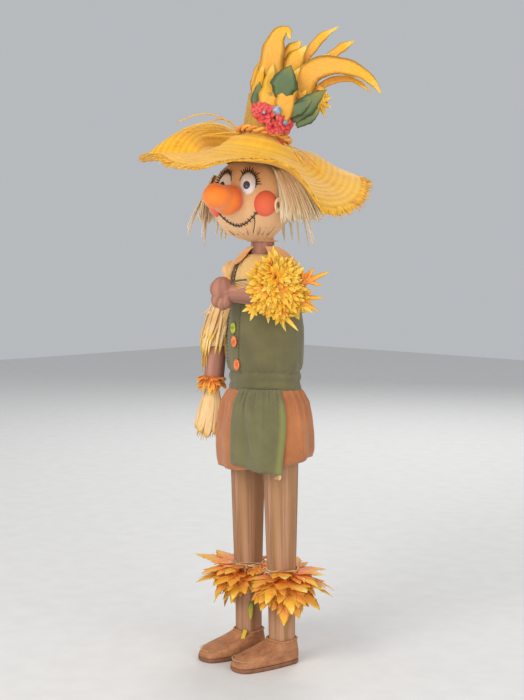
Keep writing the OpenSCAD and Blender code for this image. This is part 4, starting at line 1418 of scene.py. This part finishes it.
def flower(shape, azimuth, height, radius):
    """A flower of two rings of petals on the crown's foot."""
    petals = 7
    centre = hat_ring_point(CROWN_R + 6.4, azimuth - 90, height)
    out = unit(HAT_TURN @ polar(1, azimuth - 90, 0.12))
    side = across(HAT_UP, out)
    rise = np.cross(side, out)
    for layer, share in enumerate((1.0, 0.66)):
        for k in range(petals - layer):
            a = 2 * math.pi * (k + 0.5 * layer) / (petals - layer) + draw(-0.15, 0.15)
            heading = arc(a, side, rise)
            path = bow(centre, centre + heading * radius * 0.6 * share + out * (1.2 + layer),
                       centre + heading * radius * share + out * (0.4 + 1.4 * layer), 6)
            widths = radius * share * np.array([0.12, 0.34, 0.46, 0.46, 0.3, 0.06])
            shape.blade(path, out, widths, 0.45, draw(0.1, 0.9))


def hat_trims():
    """Flowers, beads and green leaves at the foot of the crown."""
    flowers, berries, greens = Shape(), Shape(), Shape()
    for azimuth, height, radius in ((-22, 60, 8), (-8, 57, 11), (34, 53, 11.5), (14, 46, 8), (52, 62, 7)):
        flower(flowers, azimuth, height, radius)
    for azimuth, height, radius in ((14, 62, 4.2), (34, 53, 2.4), (-8, 57, 1.6)):
        centre = hat_ring_point(CROWN_R + (8.4 if radius > 4 else 9.4), azimuth - 90, height)
        rows = []
        for e in np.linspace(-88, 88, 14):
            rows.append([centre + radius * (1 + 0.03 * math.sin(5 * math.radians(a)))
                         * np.array([cos_deg(e) * cos_deg(a), cos_deg(e) * sin_deg(a), sin_deg(e)])
                         for a in range(0, 360, 15)])
        berries.grid(rows, caps=True)
    facing = HAT_TURN @ np.array([0.1, -1, 0.15])
    for base, bend, tip, half in GREENS:
        path = np.array([plume_point(p) for p in bow(base, bend, tip, 16)])
        t = np.linspace(0, 1, 16)
        jag = 1 + 0.14 * np.abs(((t * 5) % 1) - 0.5) * 2
        widths = half * np.interp(t, [0, 0.45, 0.75, 1], [0.35, 0.93, 0.55, 0.03]) * jag
        greens.blade(path, facing, widths, 0.5, draw(0.2, 0.8), groove=0.6)
    make(flowers, "hat_flower_petals", "flower", "hat_flowers")
    make(berries, "hat_beads", "berry", "hat_berries")
    make(greens, "hat_leaf_sprays", "green_leaf", "hat_green_leaves")


def plume_point(point):
    """Point in the plume's frame, which stands upright on the crown's top."""
    return hat_point(*(np.array([0, 0, 76.0]) + turn_y(-0.9 * HAT_TILT) @ np.asarray(point, float)))


# Green leaves in the plume's frame: base, bend, tip and half width
GREENS = [
    ((-14, -21, -18), (-16, -22, -2), (-12, -21, 14), 6.5),
    ((8, -22, -4), (10, -25, 12), (17, -23, 29), 14),
    ((20, -19, -24), (30, -25, -8), (50, -27, 5), 10),
    ((14, -21, -20), (24, -25, -12), (37, -25, -4), 7),
    ((22, -18, -28), (36, -22, -20), (44, -24, -12), 6),
]

# Plume leaves in the plume's frame: points along each leaf and half widths along it
PLUME = [
    ([(-4, -24, -24), (-3, -24, -6), (-2, -17, 14), (0, -9, 34)], (4, 10, 10, 6, 0.4)),
    ([(10, -24, -24), (12, -24, -6), (16, -17, 14), (26, -11, 30)], (4, 10, 10, 6, 0.4)),
    ([(-15, -20, -20), (-14, -20, 0), (-12, -13, 18), (-8, -5, 36)], (4, 7, 6, 4, 0.4)),
    ([(14, 3, -4), (18, 2, 25), (23, 1, 42), (33, 0, 54)], (13, 12, 8.5, 0.6)),
    ([(6, 5, -4), (12, 4, 28), (20, 3, 49), (27, 2, 59)], (12, 12, 9, 1)),
    ([(-2, -5, -6), (-2, -6, 24), (1, -7, 48), (6, -7, 63), (14, -7, 67), (17, -6, 58)],
     (14, 12.5, 10, 7, 4.4, 0.5)),
    ([(18, 8, 8), (27, 10, 36), (37, 12, 52), (49, 14, 67), (65, 15, 77)], (5, 5, 4.4, 4.2, 0.4)),
    ([(20, 8, 8), (32, 10, 34), (43, 12, 43), (57, 13, 50)], (4, 3.6, 3, 0.4)),
    ([(26, 8, 8), (44, 12, 35), (60, 14, 50), (70, 16, 58), (80, 16, 63)], (5, 4.6, 4.6, 4.2, 0.4)),
    ([(20, -5, -4), (31, -9, 20), (47, -11, 31), (68, -12, 31), (85, -10, 25), (97, -7, 15), (103, -5, 6)],
     (14, 13.5, 10, 8, 6.6, 3.6, 0.4)),
    ([(30, 2, 0), (52, 0, 18), (72, 0, 22), (84, 0, 17), (94, 0, 9)], (4, 3.4, 3.2, 2.6, 0.3)),
    ([(24, -2, -6), (40, -4, 12), (50, -6, 6), (52, -6, -4)], (3, 3, 2.4, 0.4)),
    ([(-12, 0, -6), (-15, 0, 12), (-13, -1, 30), (-8, -2, 42)], (6, 6, 4.5, 0.6)),
]


def plume():
    """Tall curling leaves that spring from the crown and sweep to the viewer's right."""
    shape = Shape()
    count = 22
    t = np.linspace(0, 1, count)
    facing = HAT_TURN @ np.array([0.12, -1, 0.15])
    for points, widths in PLUME:
        path = np.array([plume_point(p) for p in spline(points, count)])
        half = np.interp(t, np.linspace(0, 1, len(widths)), widths)
        ripple = 1 + 0.07 * np.sin(11 * t + draw(0, 6)) + 0.06 * np.sin(29 * t + draw(0, 6))
        shape.blade(path, facing, half * ripple + 0.15, 0.6, draw(0.35, 0.65), groove=0.5)
    star = plume_point((45, -10, -3))
    for angle, length in ((80, 15), (32, 13), (-20, 14), (-62, 18), (-88, 14), (150, 12)):
        turned = math.radians(angle)
        heading = HAT_TURN @ np.array([math.cos(turned), -0.1, math.sin(turned)])
        lobe(shape, star - heading * 2, heading, facing, length, 2.6, 0.1, 0.5, 0.3, 1.0)
    stalk = spline([plume_point(p) for p in ((30, -6, 6), (38, -8, 4), (45, -10, -3))], 8)
    shape.tube(stalk, np.linspace(2.6, 1.6, 8), 6, 0.5)
    for x, y, z, size in ((2, -17, -6, 13), (-6, -15, -2, 12), (26, -14, -2, 12), (-14, -12, 0, 10)):
        maple(shape, plume_point((x, y, z)), HAT_TURN @ np.array([0.2, -0.4, 0.8]), facing, size, 0.45)
    make(shape, "hat_plume_leaves", "plume", "hat_plume")


# ---------------------------------------------------------------- right arm

def clear_of_body(point, gap=1.2):
    """Moves a point of a sleeve out of the dressed torso."""
    limit = float(body_half(point[2])) + gap if point[2] > 271 else 0
    reach = math.hypot(point[0], point[1] / BODY_DEPTH)
    if reach < limit:
        point = point * (limit / reach, limit / reach, 1)
    return point


def blend_at_elbow(obj):
    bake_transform(obj)


def right_sleeve():
    """Ragged straw sleeve that hangs over the upper arm and the elbow."""
    centre_line = bow((-37, -4, 361), (-44, -12, 338), (-48, -20, 294), 16)
    radii = taper(16, [0, 0.15, 0.5, 1], [6.5, 9.0, 11.5, 12.0])

    def place(angle, i):
        fold = 1 + 0.07 * math.sin(math.radians(6 * angle) + i * 0.3) + 0.04 * sin_deg(11 * angle)
        return clear_of_body(centre_line[i] + polar(radii[i] * fold, angle))

    rows = rings(range(16), 48, place)
    obj = surface(rows[::-1], "right_sleeve_straw", "husk", "right_sleeve", "blended", tone=0.6)
    thicken(obj, 0.8)
    blend_at_elbow(obj)
    strands = Shape()
    sleeve_wraps(strands, centre_line, radii)
    sleeve_ends(strands, centre_line)
    obj = make(strands, "right_sleeve_strands", "husk", "right_sleeve", "blended", replace=False)
    blend_at_elbow(obj)


def sleeve_wraps(strands, centre_line, radii):
    """Broad husks from the shoulder down and narrow ones over the elbow."""
    for k in range(58):
        broad = k < 26
        angle = 360 * k * (1 / 26 if broad else 0.618) + draw(-4, 4)
        near_body = cos_deg(angle - 25) > 0.45
        reach_out = 0.1 if near_body else draw(0.3, 1.0)
        start_i = RNG.integers(0, 5) if broad else RNG.integers(8, 12)
        start = centre_line[start_i] + polar(radii[start_i] + 0.5, angle)
        drop = draw(-9, 2) if broad else draw(-2, 11)
        foot = centre_line[15] + polar(12.6 + 2.2 * reach_out, angle, -drop)
        bend = (start + foot) / 2 + polar(2.4 + 2.4 * reach_out, angle)
        path = np.array([clear_of_body(p, 1.8) for p in bow(start, bend, foot, 14)])
        half = draw(3.0, 4.4) if broad else draw(0.9, 1.8)
        widths = half * taper(14, [0, 0.3, 0.8, 1], [0.5, 1, 0.9, 0.06]) + 0.1
        strands.blade(path, polar(1, angle), widths, 0.45, draw(0.35, 1), 0 if broad else 0.5, 1)


def sleeve_ends(strands, centre_line):
    """Torn ends that stand out at the elbow, and thin ones that hang below the sleeve."""
    for angle, reach in ((222, 21), (206, 18), (250, 17)):
        start = centre_line[7] + polar(10, angle)
        foot = centre_line[9] + polar(reach, angle, -3)
        strands.blade(bow(start, (start + foot) / 2 - UP * 2, foot, 10), polar(1, angle, 0.4),
                      np.linspace(3.0, 0.3, 10), 0.4, 0.7)
    for k in range(7):
        angle = 190 + 14 * k
        start = centre_line[13] + polar(12.5, angle)
        foot = centre_line[15] + polar(12.5, angle, -draw(10, 26))
        strands.blade(bow(start, (start + foot) / 2 + polar(1, angle), foot, 10), polar(1, angle),
                      np.linspace(1.6, 0.2, 10), 0.4, draw(0, 0.6), 0.6, 1)


def right_shoulder():
    """Bunched husk over the end of the shoulder's axle."""
    shape = Shape()
    blob(shape, np.array([-42.0, -3.0, 364.5]), np.eye(3), (9.6, 10.0, 10.4), 0.05)
    make(shape, "right_shoulder_wrap", "husk", "right_sleeve", replace=False)


def right_forearm():
    shape = Shape()
    top = RIGHT_ELBOW + (RIGHT_WRIST - RIGHT_ELBOW) * 0.1
    radii = [2.0, 6.4, 8.4, 9.3, 9.6, 9.7, 9.7, 9.6, 9.4, 9.0]
    bark_rod(shape, top, SHOWN_WRIST, radii, 17, 48, 0.25)
    make(shape, "right_forearm_bark", "arm_bark", "right_forearm")


def right_cuff():
    """Cuff of overlapping leaves that hangs from a raffia tie over the top of the hand."""
    shape = Shape()
    for layer, (height, slope, size) in enumerate(((8, -62, 15), (5, -50, 14), (9, -22, 12))):
        for k in range(9):
            angle = 360 * (k + 0.5 * layer) / 9 + draw(-8, 8)
            towards_body = cos_deg(angle - 25) > 0.5
            lean = math.radians(slope + draw(-9, 9) - (20 if towards_body else 0))
            heading = polar(math.cos(lean), angle, math.sin(lean))
            base = SHOWN_WRIST + polar(8.6, angle, height)
            length = size * draw(0.85, 1.1) * (0.6 if towards_body else 1.0)
            maple(shape, base, heading, np.cross(across(heading), heading), length, draw(0.15, 0.7), 0.8,
                  False, 1.7)
    make(shape, "right_cuff_leaf_ring", "ruff", "right_cuff_leaves")
    tie = Shape()
    raffia_ring(tie, SHOWN_WRIST + (0, 0, 4.5), 9.9, 3.5, 12, 0.5, 0.8)
    make(tie, "right_cuff_raffia_tie", "tie", "right_cuff_tie")


def right_hand():
    """Corn husks folded into a hand: broad strips and a frayed yellow tuft."""
    shape, tuft = Shape(), Shape()
    top = SHOWN_WRIST - (0, 0, 1)
    view, right = TO_VIEWER, VIEW_RIGHT
    strips = ((-0.55, 3.5, 44, 4.6), (-0.1, 5.0, 49, 4.4), (0.38, 4.0, 46, 4.6), (-0.35, -3.5, 46, 4.6),
              (0.25, -4.5, 44, 4.6), (0.1, 1.0, 43, 5.0), (-0.8, 0.0, 40, 3.2))
    for share, depth, length, half in strips:
        start = top + right * share * 6 + view * depth * 0.8
        bend = top + right * share * 16 + view * depth * 1.5 - UP * length * 0.55
        end = top + right * (share * 15 - 5) + view * depth * 0.8 - UP * length
        widths = half * taper(16, [0, 0.35, 0.8, 0.93, 1], [0.62, 0.95, 1, 0.75, 0.2])
        path = bow(start, bend, end, 16)
        shape.blade(path, view + right * share * 0.8, widths, 1.1, draw(0.5, 0.9), 0, 0.93, groove=0.8)
    for _ in range(46):
        share = draw(-0.7, 0.5)
        start = top + right * (share * 12 - 2) + view * draw(-3, 5) - UP * draw(26, 36)
        end = top + right * (share * 17 - 5) + view * draw(-4, 6) - UP * draw(40, 52)
        tuft.blade(bow(start, (start + end) / 2 + view * 1.0, end, 7), view, np.linspace(1.0, 0.2, 7), 0.4,
                   draw(0, 1), 0.7, 1.0)
    make(shape, "right_hand_husks", "husk", "right_hand")
    make(tuft, "right_hand_tuft", "husk", "right_hand", replace=False)


# ---------------------------------------------------------------- left arm

def left_sleeve():
    """Soft shoulder puff between the collar and the leaves of the elbow."""
    line = bow(LEFT_SHOULDER + (-7, 1, 4), LEFT_SHOULDER + (4, -3, 4), LEFT_ELBOW + (0, 0, 5), 14)
    radii = taper(14, [0, 0.25, 0.6, 1], [8.0, 11.0, 11.5, 9.5])
    heading = np.gradient(line, axis=0)

    def place(angle, i):
        direction = unit(heading[i])
        side = across(direction, (0, 1, 0))
        turned = math.radians(angle)
        fold = 1 + 0.05 * math.sin(6 * turned + i * 0.5) + 0.03 * math.sin(11 * turned)
        return line[i] + radii[i] * fold * arc(turned, side, -np.cross(direction, side))

    obj = surface(rings(range(14), 48, place), "left_sleeve_puff", "collar", "left_sleeve", "blended")
    thicken(obj, 1.0)
    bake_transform(obj)


def reach_axes():
    out = polar(1, LEFT_REACH)
    return out, across(UP, out)


def blob(shape, centre, axes, sizes, lump):
    """A closed egg with soft lumps, by its three axes and half sizes."""
    rows = []
    for e in np.radians(np.linspace(-87, 87, 22)):
        ring = []
        for a in np.radians(np.arange(0, 360, 10)):
            swell = 1 + lump * math.sin(3 * a + 2 * e) + 0.6 * lump * math.sin(5 * a - 3 * e)
            parts = (math.cos(e) * math.cos(a), math.cos(e) * math.sin(a), math.sin(e))
            ring.append(centre + swell * sum(p * s * axis for p, s, axis in zip(parts, sizes, axes)))
        rows.append(ring)
    shape.grid(rows, caps=True)


def left_forearm():
    shape = Shape()
    out, _ = reach_axes()
    bark_rod(shape, LEFT_ELBOW + out * 4, LEFT_ELBOW + out * 52,
             [8.5, 9.8, 10.6, 10.9, 10.6, 9.8, 8.8, 8.2], 23, 48, 0.4)
    make(shape, "left_forearm_bark", "arm_bark", "left_forearm")
    patch = Shape()
    for k in range(5):
        start = LEFT_ELBOW + out * 22 + UP * (11.0 - 0.9 * k) + across(UP, out) * (1.5 + 1.8 * k)
        end = LEFT_ELBOW + out * (47 - k) + UP * (9.6 - 1.4 * k) + across(UP, out) * (1.5 + 1.6 * k)
        patch.blade(bow(start, (start + end) / 2 + UP * 2, end, 8), UP, np.full(8, 1.6), 0.4, draw(0.5, 1))
    make(patch, "left_forearm_husk", "husk", "left_forearm", replace=False)


def left_hand():
    """Mitten fist: a domed back, three curled fingers below it and a thumb across them."""
    out, side = reach_axes()
    centre = LEFT_ELBOW + out * 60.5
    shape = Shape()
    blob(shape, centre + UP * 3.4, (out, side, UP), (11, 10, 11.6), 0.035)
    for along, drop, thick in ((4.6, -6.2, 5.2), (-0.6, -8.4, 5.4), (-5.4, -6.6, 5.0)):
        blob(shape, centre + out * along + UP * drop, (out, side, UP), (thick, 9.2, 7.2), 0.05)
    bark_rod(shape, LEFT_ELBOW + out * 46, LEFT_ELBOW + out * 57, [8.2, 7.4, 8.2, 9.2], 5, 40, 0.3)
    knuckle, tip = centre - side * 12 + out * 2 - UP * 3, centre - side * 6 + out * 6 - UP * 10
    thumb = bow(centre - side * 7 + UP * 1, knuckle, tip, 10)
    shape.tube(thumb, taper(10, [0, 0.5, 1], [3.4, 4.0, 2.2]), 12)
    refine(make(shape, "left_fist", "arm_bark", "left_hand"))


# Fingers of the elbow's leaf burst, in the view's plane: root, then the angle and length of each prong
BURST_FINGERS = [
    ((19, 1), ((46, 24), (24, 33))),
    ((16, -10), ((1, 28), (-28, 26))),
    ((0, -18), ((-67, 24), (-47, 30))),
    ((-6, -14), ((-92, 19), (-78, 12))),
    ((-17, -16), ((-112, 16), (-155, 15))),
    ((-2, 18), ((90, 20), (112, 12))),
    ((12, 14), ((62, 12), (30, 12))),
]


def burst_fingers(shape, centre, right, rise, view):
    """Forked fingers of leaf, each prong with two small teeth."""
    for (x, z), prongs in BURST_FINGERS:
        root = centre + right * x + rise * z + view * 2
        for angle, length in prongs:
            heading = unit(arc(math.radians(angle), right, rise))
            tone = -0.5 if x > 15 else draw(0.3, 0.6)
            lobe(shape, root - heading * 5, heading, view, length + 5, 2.7, draw(-0.12, 0.1), tone, 0.2)
            side = np.cross(heading, view)
            knuckle = root + heading * length * 0.3
            lobe(shape, knuckle, heading + side * 0.8, view, length * 0.34, 1.7, 0, tone, 0.4, 0.9)
            lobe(shape, knuckle, heading - side * 0.8, view, length * 0.3, 1.7, 0, tone, 0.4, 0.9)


def burst_cushion(shape, centre, right, rise, view):
    """Small leaves over a domed oval. Those near its middle hang down, and the lower ones are darker."""
    count, golden_angle = 96, 137.5
    for k in range(count):
        turned = math.radians(golden_angle * k)
        share = math.sqrt((k + 0.5) / count)
        out = arc(turned, right, rise)
        root = centre + (math.cos(turned) * right * 18 + math.sin(turned) * rise * 23) * share
        root += view * 12 * math.sqrt(1 - 0.92 * share ** 2)
        stray = right * draw(-0.9, 0.9) + rise * draw(-0.8, 0.6)
        heading = unit(out * (0.1 + share) - rise * 0.6 * (1 - share) + view * 0.3
                       + stray * (1.1 - 0.6 * share))
        normal = unit(view + out * 0.6 * share)
        sunny = 0.35 + 0.012 * np.dot(root - centre, UP)
        maple(shape, root, heading, normal, draw(9, 15), sunny + draw(-0.25, 0.3), 1.0, True, 1.35)


def burst_backing(shape, centre, right, rise, view):
    """Leaves behind the cushion and two rings of them round the elbow, on a closed core."""
    for k in range(14):
        heading = unit(arc(math.radians(26 * k + 10), right, rise) - view * 0.7)
        maple(shape, centre - view * 4 + heading * 6, heading, view, draw(14, 20), draw(0.1, 0.5))
    ring = 11
    for k in range(2 * ring):
        front = k < ring
        out = arc(math.radians(360 * k / ring + draw(-10, 10)), right, rise)
        lean = draw(0.25, 0.6) if front else draw(-0.3, 0.1)
        root = LEFT_ELBOW + out * 9 + view * (10 if front else -1.5)
        maple(shape, root, unit(out + view * lean), view - out * lean, draw(15, 21), draw(0.2, 0.6))
    blob(shape, LEFT_ELBOW + view * 10 + UP * 3 - right * 4, (right, view, rise), (14, 12, 16), 0.05)


def left_leaves():
    """Burst of leaves round the left elbow: a ruffled cushion with forked fingers at its edges."""
    view, right = unit(TO_VIEWER + UP * 0.12), VIEW_RIGHT
    rise = np.cross(right, -view)
    centre = LEFT_ELBOW + view * 11 + UP * 5 - right * 9
    shape = Shape()
    for layer in (burst_fingers, burst_cushion, burst_backing):
        layer(shape, centre, right, rise, view)
    make(shape, "left_elbow_leaf_burst", "burst", "left_cuff_leaves")


# ---------------------------------------------------------------- the whole doll

def build():
    add_camera()
    add_studio()
    dress_cad_nodes()
    legs()
    shoes()
    ruffs()
    leg_ties()
    stray_stems()
    skirt()
    apron()
    waistband()
    bodice()
    blouse()
    collar()
    straps()
    buttons()
    neck()
    head_cover()
    nose()
    eyes()
    cheeks()
    mouth()
    ear_curl()
    hair()
    brim()
    hat_lining()
    loose_straws()
    crown()
    band()
    hat_trims()
    plume()
    right_sleeve()
    right_shoulder()
    right_forearm()
    right_cuff()
    right_hand()
    left_sleeve()
    left_forearm()
    left_hand()
    left_leaves()


build()
